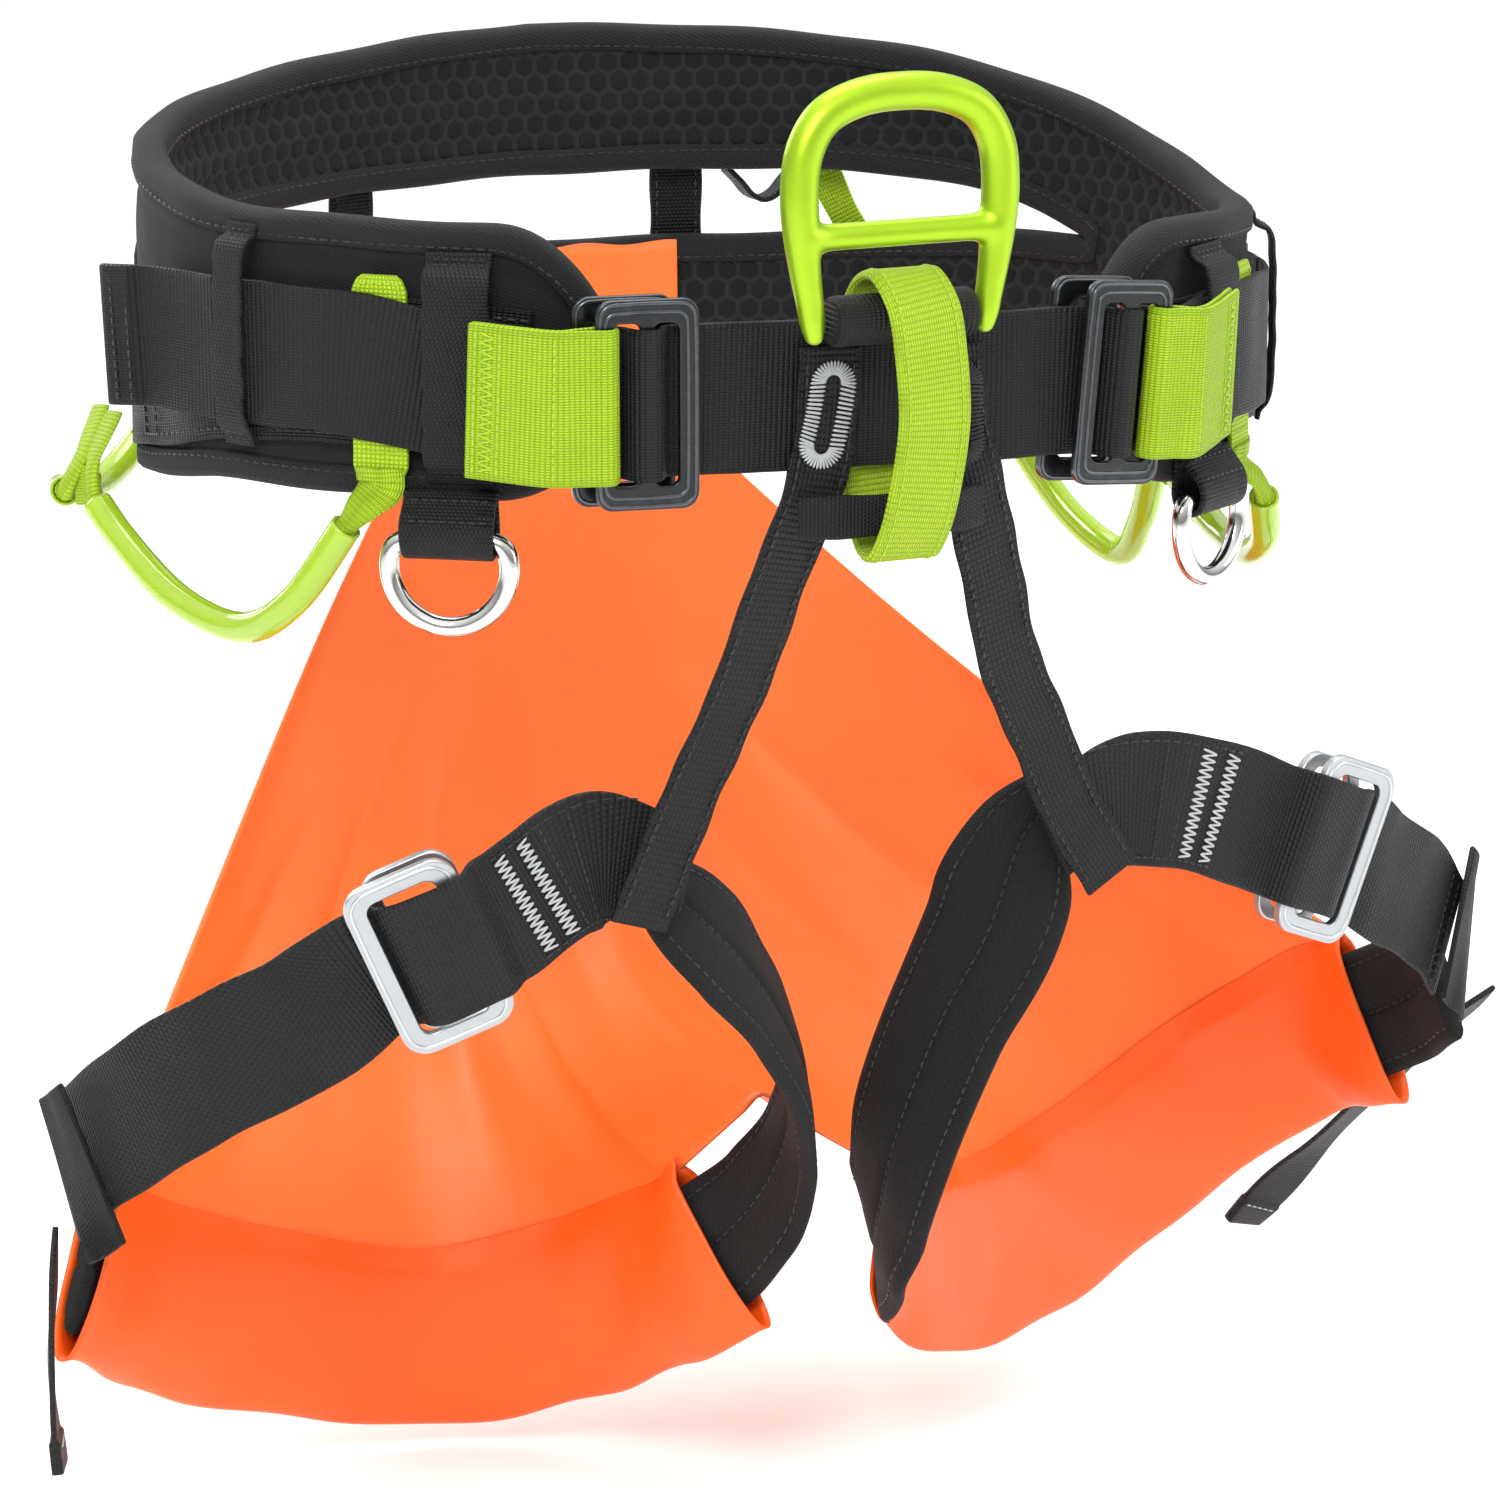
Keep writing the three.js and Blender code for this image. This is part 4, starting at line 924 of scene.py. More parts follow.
def belt_webbing():
    """Load webbing round the pad, the two rear straps and the haul loop."""
    path = belt_path(-57, 234, 10.3, lambda t: height_at(LOAD_HEIGHT, t))
    profile = soft(path, ribbon_profile(WEB_WIDTH, WEB_THICK, 12), 0.3, 60, 3, 0.2)
    fit(sweep("load_webbing_band", path, profile), "saddle", "belt_web", "load_webbing")
    runs = [dashes(path, [(s, a) for s in path.s], 1.1, 3.6) for a in (-19.0, 19.0)]
    for theta in (20, 60, 120, 160, 190):
        s = around(theta) - around(-57)
        box = [(s - 5, -19), (s - 5, 19), (s + 5, 19), (s + 5, -19), (s - 5, -19)]
        runs.append(dashes(path, box, 1.1, 3.2))
    sew("load_webbing_stitches", runs, 0.32)
    rear = []
    for name, theta in (("left", 111.5), ("right", 72.8)):
        rows = [belt_point(theta, 10.0 + lift, z) for z, lift in
                ((1.6, 0.6), (8, 0.2), (16, 0), (24, 0), (31, 0.4), (38, 0.9), (46, 0.9))]
        out = belt(theta)[1][0]
        strap, line = band("rear_strap_" + name, rows, 17.5, 2.2, np.cross([0, 0, 1], out), wave=0.15, seed=5)
        fit(strap, "saddle", "tape", name + "_rear_strap")
        edges = [(s, a) for a in (-6.6, 6.6) for s in (2, line.length - 2)]
        for a, b in ((0, 1), (2, 3)):
            for lift in (-1.2, 1.2):
                rear.append(dashes(line, [edges[a], edges[b]], lift, 3.2))
    sew("rear_strap_stitches", rear, 0.3)
    height = [26, 22, 17.5, 16, 17.5, 22, 26]
    rows = [belt_point(67.2 - i * 1.3, 10.6, z) for i, z in enumerate(height)]
    loop, _ = band("haul_loop_tape", rows, 9, 1.8, (0, 1, 0), wave=0)
    fit(loop, "saddle", "tape", "haul_loop")


waist_pad()
edge_binding()
belt_webbing()


# ---------------------------------------------------------------- buckles, tails and keepers
class Buckle:
    """A buckle's own directions: out away from the middle, up its height, face off the body."""

    def __init__(self, origin, out, up):
        self.origin, self.out = vec(*origin), unit(vec(*out))
        face = unit(np.cross(up, self.out))
        self.face = -face if face[1] > 0 else face
        high = unit(np.cross(self.out, self.face))
        self.up = -high if high[2] < 0 else high

    def at(self, s, v, h=0.0):
        return self.origin + self.out * s + self.face * v + self.up * h

    def rows(self, pairs):
        return [list(self.at(s, v)) + list(self.up) for s, v in pairs]


BELT_BUCKLES = {"left": Buckle((-80, -141, 1), (-0.985, 0.174, 0), (0.01, 0, 1)),
                "right": Buckle((76, -141, -4), (0.99, 0.139, -0.09), (0.09, 0, 1))}
LEG_BUCKLES = {"left": Buckle((-131, -94, -170), (-0.863, 0.317, -0.393), (-0.426, -0.04, 0.904)),
               "right": Buckle((183, -88, -171), (0.875, 0.328, -0.356), (0.3, 0, 0.95))}
HUMP = [(-9.5, -5.2), (-6.6, -4.6), (-4.9, -1.4), (-2.9, 2.3), (0, 3.5), (2.9, 2.3), (4.9, -1.4), (6.2, -4.6),
        (8.6, -6)]
LEG_HUMP = [(-27, -4.6), (-22.6, -3.2), (-20.6, -0.2), (-18.2, 2.9), (-13, 3.7), (-4, 3.8), (3.6, 3.2),
            (8, 0.4), (9.8, -2.6), (13, -4.6), (19, -5)]


def rounded_outline(half_w, half_h, corner, centre=(0, 0), steps=7):
    """A rectangle with round corners."""
    points = []
    for cx, cy, start in ((1, -1, -90), (1, 1, 0), (-1, 1, 90), (-1, -1, 180)):
        for a in np.radians(np.linspace(start, start + 90, steps)):
            points.append((centre[0] + cx * (half_w - corner) + corner * math.cos(a),
                           centre[1] + cy * (half_h - corner) + corner * math.sin(a)))
    return points


def pressed_plate(name, b, outline, holes, thick, shift=0.0, depth=0.0, ridges=()):
    """A metal plate with rounded edges, windows and raised lines."""
    curve = bpy.data.curves.new(name, "CURVE")
    curve.dimensions, curve.fill_mode = "2D", "BOTH"
    ease = 0.55
    curve.bevel_depth, curve.bevel_resolution, curve.offset = ease, 3, -ease
    curve.extrude = thick / 2 - ease
    for ring in [outline] + list(holes):
        spline = curve.splines.new("POLY")
        spline.points.add(len(ring) - 1)
        for point, (x, y) in zip(spline.points, ring):
            point.co = (x, y, 0, 1)
        spline.use_cyclic_u = True
    holder = add(name, curve)
    bpy.context.view_layer.update()
    mesh = bpy.data.meshes.new_from_object(holder.evaluated_get(bpy.context.evaluated_depsgraph_get()))
    bpy.data.objects.remove(holder)
    co = read(mesh.vertices, "co")
    points = (b.origin + (co[:, :1] + shift) * b.out + co[:, 1:2] * b.up + (co[:, 2:] + depth) * b.face)
    mesh.vertices.foreach_set("co", (points * MM).astype(np.float32).ravel())
    rework(mesh, lambda work: bmesh.ops.remove_doubles(work, verts=work.verts, dist=2e-6))
    rework(mesh, lambda work: bmesh.ops.recalc_face_normals(work, faces=work.faces))
    obj = add(name, mesh)
    for polygon in mesh.polygons:
        polygon.use_smooth = len(polygon.vertices) == 4
    parts = [obj]
    for i, (half_w, half_h, corner, cx) in enumerate(ridges):
        line = rounded_outline(half_w, half_h, corner, (cx, 0), 6)
        rows = [b.at(x + shift, depth + thick / 2 - 0.05, y) for x, y in line]
        path = Path(rows, 0.8, True, b.face)
        parts.append(sweep(name + "_ridge_%d" % i, path, round_profile(0.5, 0.6, 8), True))
    return join(name, parts) if len(parts) > 1 else obj


def belt_buckles():
    """Front and back plates of the belt buckles and the leg buckles."""
    for name, side in SIDES:
        b = BELT_BUCKLES[name]
        outline = rounded_outline(15.5, 31, 5)
        holes = [rounded_outline(3.75, 24, 2.5, (-5.75, 0)), rounded_outline(4.3, 24, 2.5, (6.3, 0))]
        ridges = ((14.2, 29.7, 4.2, 0), (12.3, 27.2, 3.4, 0.4))
        fit(pressed_plate("belt_plate_" + name, b, outline, holes, 2.6, 0, 0, ridges), "saddle", "plate",
            name + "_buckle_front_plate")
        shift = 5 if side < 0 else -7
        fit(pressed_plate("belt_back_plate_" + name, b, outline, [rounded_outline(9.5, 24, 3)], 2.6, shift,
                          -8.6, ridges[:1]), "saddle", "plate", name + "_buckle_back_plate")
        b = LEG_BUCKLES[name]
        window = rounded_outline(11.2, 23.5, 3.5, (0.2, 0))
        front = pressed_plate("leg_plate_" + name, b, rounded_outline(18, 29.5, 8), [window], 3.0, 0, 0,
                              ((15.9, 27.4, 6.4, 0.1),))
        fit(front, name + "_leg_buckle", "satin", name + "_leg_buckle")
        back = pressed_plate("leg_back_plate_" + name, b, rounded_outline(15, 28, 8),
                             [rounded_outline(9, 23.5, 3)], 3.0, -3, -9.6)
        fit(back, "saddle", "satin", name + "_leg_buckle_back")


def front_strap():
    """Webbing from buckle to buckle across the front."""
    left, right = BELT_BUCKLES["left"], BELT_BUCKLES["right"]
    rows = left.rows([(11.5, -6.2)] + HUMP[::-1] + [(-18, -4.8)])
    rows += [[-32, -140, 0], [-3, -140, -0.5], [26, -140, -2, 0.04, 0, 1]]
    rows += right.rows([(-18, -4.8)] + HUMP + [(11.5, -6.2)])
    path = Path(rows, 1.0)
    outline = soft(path, ribbon_profile(45, 2, 12), 0.12, 22, 4)
    fit(sweep("front_strap_band", path, outline), "saddle", "belt_web", "front_strap")


def pull_tab(name, side):
    """The doubled lime tab that loosens a belt buckle."""
    b = BELT_BUCKLES[name]
    fold = [list(b.at(13 - 3.9 * math.cos(a), -3.9 * math.sin(a))) + list(b.up)
            for a in np.radians([-120, -90, -60, 0, 60, 90, 120])]
    tip = belt_point(belt_angle(side, 40.9), 21.4, b.origin[2] - side)
    middle = b.at(27, 0.9)
    lift = unit(np.cross(tip - middle, b.up))
    lift = lift if np.dot(lift, b.face) > 0 else -lift

    def layer(off):
        return [list(b.at(20, -2 if off < 0 else 2.6)) + list(b.up), list(middle + lift * off) + list(b.up),
                list(tip + lift * off) + list(b.up)]

    path = Path(layer(1.25)[::-1] + fold + layer(-1.25), 0.8)
    outline = soft(path, ribbon_profile(46, 1.75, 12), 0.1, 20, 6)
    band_ = sweep("pull_tab_" + name + "_band", path, outline)
    fit(band_, name + "_pull_tab", "lime_tab", name + "_pull_tab")
    flip = path.facing(4, b.face)
    half = path.length / 2
    runs = [crosswise(path, half - 21, 21, 0.95 * flip, 2.6, 0.8)]
    runs += [crosswise(path, s, 21, 0.95 * flip, 2.6, 0.8) for s in (2.6, 10.5)]
    runs.append(zigzag(path, 6.4, 6.4, -20.5, 20.5, 2.2, 0.95 * flip, 30))
    sew("pull_tab_" + name + "_stitches", runs, 0.36, "green_thread", name + "_pull_tab")


def strap_tail(name, side):
    """The belt strap's free end: under the keepers, then a hemmed end that stands off."""
    b = BELT_BUCKLES[name]
    rows = b.rows([(12, -6.1), (17, -6), (22, -6.1)])
    start = rows[-1][2]
    for f, offset in ((37.2, 15.6), (39.8, 14.2), (46, 14.2), (54, 14.2), (63, 14.2), (70.5, 14.2)):
        theta = belt_angle(side, f)
        climb = float(smoothstep(f, 32, 58))
        rows.append(belt_point(theta, offset, start * (1 - climb) + (3 + float(droop(theta))) * climb))
    tail, _ = band("tail_" + name, rows, 43, 2, step=1.4, wave=0.22, seed=8 + side, length=42)
    fit(tail, "saddle", "belt_web", name + "_strap_tail")
    rows = []
    for i, more in enumerate((0, 6, 12)):
        theta = belt_angle(side, 71.9 + more)
        rows.append(belt_point(theta, 14.2 + (0, 0.4, 3)[i], 3 + float(droop(theta))))
    last = rows[-1]
    rows.append([last[0] + side * 9, last[1] + 15, last[2] - 1])
    path = Path(rows, 1.0)
    outline = per_ring(path, ribbon_profile(43, 2, 12))
    hem = smoothstep(path.s, path.length - 12.5, path.length - 11.2) * (
        1 - 0.5 * smoothstep(path.s, path.length - 1.6, path.length))
    outline[..., 1] *= (1 + 0.95 * hem)[:, None]
    lean = 0.5 * np.sin(path.s / 8)[:, None] * (outline[..., 0] / 21)
    outline[..., 1] += lean * smoothstep(path.s, 0, 12)[:, None]
    fit(sweep("tail_end_" + name, path, outline), name + "_tail_end", "belt_web", name + "_tail_end")
    runs = [crosswise(path, path.length - 9.6 + k, 19.5, lift, 3.2, 0.7)
            for k in (0, 5.5) for lift in (-2.0, 2.0)]
    sew("tail_hem_" + name, runs, 0.36, body=name + "_tail_end")


def keeper(name, label, first, last, bottom, top, feet):
    """An elastic band over the tail, sewn down above and below it."""
    at = belt_angle(-1 if name == "left" else 1, (first + last) / 2)
    out = belt(at)[1][0]
    ends = [belt_point(belt_angle(1, f), 16, 0) for f in (first, last)]
    wide = float(np.linalg.norm(ends[1] - ends[0]))
    drop = float(droop(at))
    low, high = bottom + drop, top + drop
    heights = [(high + 1.5, feet[0] + 0.9), (high - 1.5, feet[0] + 1.6), (high - 4.0, 15.2),
               (high - 7.5, 16.6), (high - 14, 17.0), ((low + high) / 2, 17.3), (low + 14, 17.0),
               (low + 7.5, 16.6), (low + 4.0, 15.2), (low + 1.5, feet[1] + 1.6), (low - 1.5, feet[1] + 0.9)]
    path = Path([belt_point(at, offset, z) for z, offset in heights], 1.2, False, beside(out))
    outline = soft(path, ribbon_profile(wide, 1.5, 8), 0.12, 16, 5, 0.2)
    bend = (outline[..., 0] ** 2) / 330.0
    sign = path.facing(len(path.v) // 2, out)
    outline[..., 1] -= bend * sign
    obj = fit(sweep(label, path, outline), "saddle", "elastic")
    runs = [crosswise(path, s, wide / 2 - 2, 1.0 * sign - 0.3 * sign, 2.6, 0.75)
            for s in (2.2, 5.0, path.length - 5.0, path.length - 2.2)]
    return obj, np.vstack(runs)


def keepers():
    """The two elastic bands over each tail."""
    seams = []
    for name, side in SIDES:
        reach = (-30, 35, (9.3, 9.3)) if side < 0 else (-24, 35, (9.3, 11.6))
        obj, runs = keeper(name, "front_keeper_" + name, 39.2, 45.7, reach[0], reach[1], reach[2])
        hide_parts(name + "_front_keeper")
        seams.append(runs)
        obj, runs = keeper(name, "rear_keeper_" + name, 66.5, 71, -24, 39, (9.3, 11.6))
        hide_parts(name + "_rear_keeper")
        seams.append(runs)
    sew("keeper_stitches", seams, 0.3)


# ---------------------------------------------------------------- side rings and gear loops
def hanger_place(name, side):
    """A side ring hanger's origin, its direction along the belt and its outward one."""
    f, z = HANGER[name]
    origin, out = belt(belt_angle(side, f), 0, z)
    return origin[0], beside(out[0]), out[0]


def side_rings():
    """Steel D rings and the webbing that holds them."""
    seams = []
    for name, side in SIDES:
        origin, along, out = hanger_place(name, side)
        at = lambda s, off, z: origin + along * s + out * off + vec(0, 0, z)
        turn = [(D_OFFSET + 4.9 * math.cos(a), 4.9 * math.sin(a)) for a in np.radians(range(180, 361, 45))]
        line = [(10.7, 14), (10.7, 9), (10.55, 4.5)] + turn + [(19.6, 4.5), (16.2, 9), (13.1, 13)]
        rows = [at(0, o, z) for o, z in line]
        hanger, path = band("hanger_" + name, rows, 28, 2.1, along, step=0.8, wave=0.1)
        fit(hanger, "saddle", "tape", name + "_ring_hanger")
        sign = path.facing(-4, out)
        for s in (path.length - 2.5, path.length - 9.5):
            seams.append(crosswise(path, s, 12, 1.15 * sign, 2.8))
        w = D_HALF
        flat = [(-w + 6, 0), (-4, 0), (4, 0), (w - 6, 0), (w - 1.6, -2), (w, -7)]
        bow = np.radians([-20, -45, -70, -90, -110, -135, -160])
        flat += [(w * math.cos(a), -8 + w * math.sin(a)) for a in bow]
        flat += [(-w, -7), (-w + 1.6, -2)]
        path = Path([at(s, D_OFFSET, z) for s, z in flat], 0.9, True, out)
        fit(sweep("side_d_ring_" + name, path, round_profile(D_WIRE, D_WIRE, 20), True), name + "_side_ring",
            "steel", name + "_side_ring")
    sew("hanger_stitches", seams, 0.36)


GEAR_LOOPS = {
    "left_front": [(-154, -90, -38), (-165, -75, -62), (-172, -52, -74), (-182, -22, -70), (-190, 6, -55),
                   (-193, 17, -47)],
    "left_rear": [(-196, 38, -46), (-189, 62, -50), (-178, 84, -56), (-160, 106, -58), (-136, 127, -44),
                  (-122, 137, -20)],
    "right_front": [(154, -90, -54), (163, -75, -70), (170, -52, -80), (177, -22, -80), (181, 6, -73),
                    (182, 17, -68)],
    "right_rear": [(184, 38, -70), (188, 54, -90), (190, 72, -104), (180, 88, -94), (166, 106, -66),
                   (150, 121, -30)],
}


def gear_loops():
    """Clear tubes with rolled webbing inside."""
    for name, rows in GEAR_LOOPS.items():
        body = name + "_gear_loop"
        path = Path(rows, 1.2, False, (0.3, 0.3, 1))
        swell = 1 + 0.02 * np.sin(path.s / 7)
        outer = round_profile(4.75, 4.75, 24)[None] * swell[:, None, None]
        inner = round_profile(3.85, 3.85, 24)[None] * swell[:, None, None]
        fit(sweep(name + "_tube", path, outer, True, inner), body, "tube", name + "_gear_tube")
        turn = np.radians(np.linspace(200, 520, 15))
        sheet = np.stack([3.25 * np.cos(turn), 3.25 * np.sin(turn)], 1)
        roll = np.vstack([sheet, (sheet * 0.62)[::-1]])
        roll = roll[None] * (1 + 0.03 * np.sin(path.s / 5.3))[:, None, None]
        fit(sweep(name + "_core", path, roll, True), body, "lime_tape", name + "_gear_webbing")


def neck(label, rows, across, fade, width, thick):
    """Webbing from a tab into a tube's mouth. width and thick give
    the section at the tab and how much of it goes or comes by the mouth. fade says where that starts and
    ends."""
    path = Path(rows, 0.8, False, across)
    close = smoothstep(path.s, fade[0], path.length - fade[1])[:, None]
    outline = per_ring(path, ribbon_profile(1.0, 1.0, 8))
    outline = np.stack([outline[..., 0] * (width[0] - width[1] * close),
                        outline[..., 1] * (thick[0] + thick[1] * close)], -1)
    obj = sweep(label, path, outline)
    obj.data.materials.append(MATS["lime_tape"])
    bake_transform(obj)


FRONT_TAB = 50.6
SIDE_TABS = {"left": (-191.5, -44), "right": (180.5, -66)}


def gear_necks(name, side, rear_foot):
    """The necks of one side's two gear loops, from the front, side and rear tabs."""
    at = belt_angle(side, FRONT_TAB)
    out = belt(at)[1][0]
    hem = belt_point(at, 13.6, float(droop(at)) - 34)
    mouth, inner = [vec(*r) for r in GEAR_LOOPS[name + "_front"][:2]]
    rows = [hem + vec(0, 0, 6), hem, (hem + mouth) / 2 + out * 1.5, mouth, mouth + unit(inner - mouth) * 9]
    neck("front_neck_" + name, rows, beside(out),
         (5, 8), (16, 9.6), (1.8, 3.6))
    x, level = SIDE_TABS[name]
    for loop, end in (("_front", -1), ("_rear", 0)):
        tube = [vec(*r) for r in GEAR_LOOPS[name + loop]]
        mouth, inner = tube[end], tube[end - 1 if end else 1]
        high = vec(x - side * 7, 24 if end else 36, level + 24)
        middle = vec(x + side * 1.0, mouth[1] + (5 if end else -5), level + 9)
        neck("side_neck_" + name + loop, [high, middle, mouth, mouth + unit(inner - mouth) * 8],
             (0.2, 1, 0.3), (8, 6), (13, 6.6), (2.2, 3.4))
    mouth, inner = [vec(*r) for r in GEAR_LOOPS[name + "_rear"][:-3:-1]]
    foot = vec(*rear_foot[:3])
    middle = (foot + mouth) / 2 + vec(0, 0, 2)
    rows = [foot + vec(0, 0, 9), foot, middle, mouth, mouth + unit(inner - mouth) * 8]
    neck("rear_neck_" + name, rows, rear_foot[3:], (9, 6),
         (10, 3.6), (1.7, 3.9))


def gear_tabs():
    """Lime tabs that hold the gear loops, and their necks."""
    seams = []
    for name, side in SIDES:
        at = belt_angle(side, FRONT_TAB)
        out = belt(at)[1][0]
        drop = float(droop(at)) + 1.5
        heights = [(27.5, 12.0), (25, 12.2), (20, 12.2), (0, 12.2), (-20, 12.2), (-30, 12.5), (-34, 13.4)]
        rows = [belt_point(at, o, drop + z) for z, o in heights]
        path = Path(rows, 1.2, False, beside(out))
        outline = per_ring(path, ribbon_profile(17.5, 1.7, 8))
        near = np.minimum(path.s, path.length - path.s)
        outline[..., 0] *= (0.62 + 0.38 * np.sqrt(np.clip(near / 5.0, 0, 1)))[:, None]
        fit(sweep("front_tab_" + name, path, outline), "saddle", "lime_tape", name + "_front_gear_tab")
        sign = path.facing(3, out)
        for s in (2.6, 9.0, path.length - 9.0, path.length - 3.0):
            seams.append(crosswise(path, s, 6.4, 0.95 * sign, 2.4, 0.8))
        for a in (-6.4, 6.4):
            seams.append(dashes(path, [(2.6, a), (10, a)], 0.95 * sign, 2.4, 0.8))
        x, level = SIDE_TABS[name]
        rows = [[x, 22, level], [x + side, 28, level + 1], [x + side * 2, 34, level]]
        tab, _ = band("side_tab_" + name, rows, 12.5, 2.4, wave=0, step=0.8)
        fit(tab, "saddle", "lime_tape", name + "_side_gear_tab")
        rows = []
        for angle, z in ((57, 31), (54.5, 14), (51, -4), (48, -18)):
            p, out = belt(angle if side > 0 else 180 - angle, 13.4, z)
            rows.append(list(p[0]) + list(beside(out[0])))
        tab, path = band("rear_tab_" + name, rows, 10.5, 1.6, wave=0.1, step=1.0)
        fit(tab, "saddle", "lime_tape", name + "_rear_gear_tab")
        for s in (2, 7, path.length - 3):
            for lift in (-0.9, 0.9):
                seams.append(crosswise(path, s, 4, lift, 2.2, 0.8))
        gear_necks(name, side, rows[-1])
    sew("tab_stitches", seams, 0.32, "green_thread")


# ---------------------------------------------------------------- tie-in ring, belay loop and risers
def tie_in_ring():
    """The forged ring with its crossbar, and the webbing sleeve between its legs."""
    half = [(27.5, 17), (28.6, 26), (30.6, 38), (32, 50), (32.6, 62), (31, 74), (25, 83.5), (14, 88.6),
            (0, 90)]
    line = [(-x, z) for x, z in half][:-1] + half[::-1]
    path = Path([[CENTRE_X + x, BAR_Y, z] for x, z in line], 0.9, False, (0, 1, 0))
    grow = 4 + 1.8 * smoothstep(path.origin[:, 2], 20, 60)
    grow *= 0.42 + 0.58 * np.sqrt(np.clip(np.minimum(path.s, path.length - path.s) / 7.0, 0, 1))
    hoop = sweep("ring_hoop", path, round_profile(1.0, 1.0, 24)[None] * grow[:, None, None], True)
    bar = Path([[CENTRE_X + x, BAR_Y, 48.5] for x in (-31, -15, 0, 15, 31)], 0.9, False, (0, 1, 0))
    flare = 4.1 + 1.7 * np.exp(-((31 - np.abs(bar.origin[:, 0] - CENTRE_X)) / 4.5) ** 2)
    cross = sweep("ring_crossbar", bar, round_profile(1.0, 1.0, 20)[None] * flare[:, None, None], True)
    ring = join("tie_in_ring_body", [hoop, cross])
    remesh = ring.modifiers.new("blend", "REMESH")
    remesh.mode, remesh.voxel_size = "VOXEL", 0.75 * MM
    ease = ring.modifiers.new("ease", "CORRECTIVE_SMOOTH")
    ease.factor, ease.iterations, ease.use_only_smooth = 0.6, 10, True
    applied(ring)
    ring.data.polygons.foreach_set("use_smooth", [True] * len(ring.data.polygons))
    fit(ring, "tie_in_ring", "ring", "tie_in_ring")

    rows = [[CENTRE_X + x, BAR_Y, BAR_Z] for x in (-23, -10, 0, 10, 23)]
    path = Path(rows, 0.8, False, (0, 1, 0))
    near = np.minimum(path.s, path.length - path.s)
    turn = np.radians(np.linspace(-60, 300, 40))
    spiral = np.stack([np.cos(turn), np.sin(turn)], 1) * np.linspace(6.7, 7.9, 40)[:, None]
    roll = spiral[None] * (0.9 + 0.1 * np.sqrt(np.clip(near / 2.0, 0, 1)))[:, None, None]
    fit(sweep("sleeve_roll", path, roll, True), "saddle", "belt_web", "tie_in_sleeve")


BELAY = [(-4, -135.6, 16), (-4, -135.4, 0), (-4, -135.6, -18), (-3.5, -136.8, -30), (-3, -140.5, -41),
         (-3, -147, -47.5), (-3, -153.5, -47.5), (-2, -159.6, -39), (0, -163, -24), (1.5, -164.8, -6),
         (0, -165.2, 14), (-2, -163.8, 28), (-4, -156, 36.2), (-4, -147, 34.5), (-4, -139.5, 28)]
RISERS = {
    "left": [(-22, -142.4, 14), (-23, -142.4, -8), (-26, -142.4, -25), (-30, -139, -40), (-35, -132, -60),
             (-41, -123, -88), (-54, -109, -130), (-66, -102, -166)],
    "right": [(18, -142.4, 11), (21, -142.4, -12), (25, -142.4, -28), (31, -138, -45), (39, -131, -66),
              (47, -124, -88), (66, -111, -119), (77, -107.5, -141), (93, -107, -166)],
}


def slot_tack(path, centre, lift, count=66):
    """Radial stitches round a long slot, tilted a little on the webbing."""
    turn = np.linspace(0, 1, count, endpoint=False)
    ends = []
    for straight, radius in ((9.5, 2.4), (8.7, 7.6)):
        side = np.floor(turn * 2)
        along = np.clip((turn * 2 - side) / 0.42, 0, 1) * 2 - 1
        angle = np.clip((turn * 2 - side - 0.42) / 0.58, 0, 1) * np.pi
        sign = 1 - 2 * side
        s = sign * (along * straight + radius * np.sin(angle))
        a = sign * radius * np.cos(angle)
        ends.append(path.at(centre + s * 0.99 + a * 0.12, a * 0.99 - s * 0.12, lift))
    return np.stack(ends, 1)


def front_group():
    """Belay loop, cross webbing and risers, with their stitching."""
    path = Path(BELAY, 0.9, True, (1, 0, 0))
    outline = ribbon_profile(23.2, 3.1, 10)
    fit(sweep("belay_band", path, outline), "belay_loop", "lime_loop", "belay_loop")
    flip = path.facing(len(path.v) * 2 // 3, FRONT)
    runs = [dashes(path, [(s, a) for s in path.s], 1.62 * flip, 2.6, 0.8) for a in (-8.6, 8.6)]
    sew("belay_stitches", runs, 0.36, "green_thread", "belay_loop")

    rows = [(-33, -144.6, -35.5), (-28.5, -147.2, -35.5), (-24, -149.6, -35.5), (-6, -150.4, -36),
            (13, -150, -36.5), (19, -148.4, -36.5), (27, -144.8, -36.5)]
    bridge, _ = band("bridge_band", rows, 13, 2, wave=0.1, step=0.8)
    fit(bridge, "saddle", "tape", "leg_bridge")
    seams = []
    for name, side in SIDES:
        riser, path = band("riser_" + name, RISERS[name], 20, 1.8, (1, 0, 0.1), 1.1, 0.15, 11 + side)
        fit(riser, "saddle", "riser", name + "_riser")
        sign = path.facing(3, FRONT)
        tack = stitches("riser_tack_" + name, slot_tack(path, 20.0, 1.25 * sign), 0.42)
        fit(tack, "saddle", "grey_thread" if side < 0 else "black_thread")
        for a in (-7.6, 7.6):
            seams.append(dashes(path, [(5, a), (path.length - 4, a)], 1.0 * sign, 3.6, 0.7))
    sew("riser_seams", seams, 0.34)


belt_buckles()
front_strap()
keepers()
side_rings()
gear_loops()
gear_tabs()
tie_in_ring()
front_group()
for NAME, SIDE in SIDES:
    pull_tab(NAME, SIDE)
    strap_tail(NAME, SIDE)


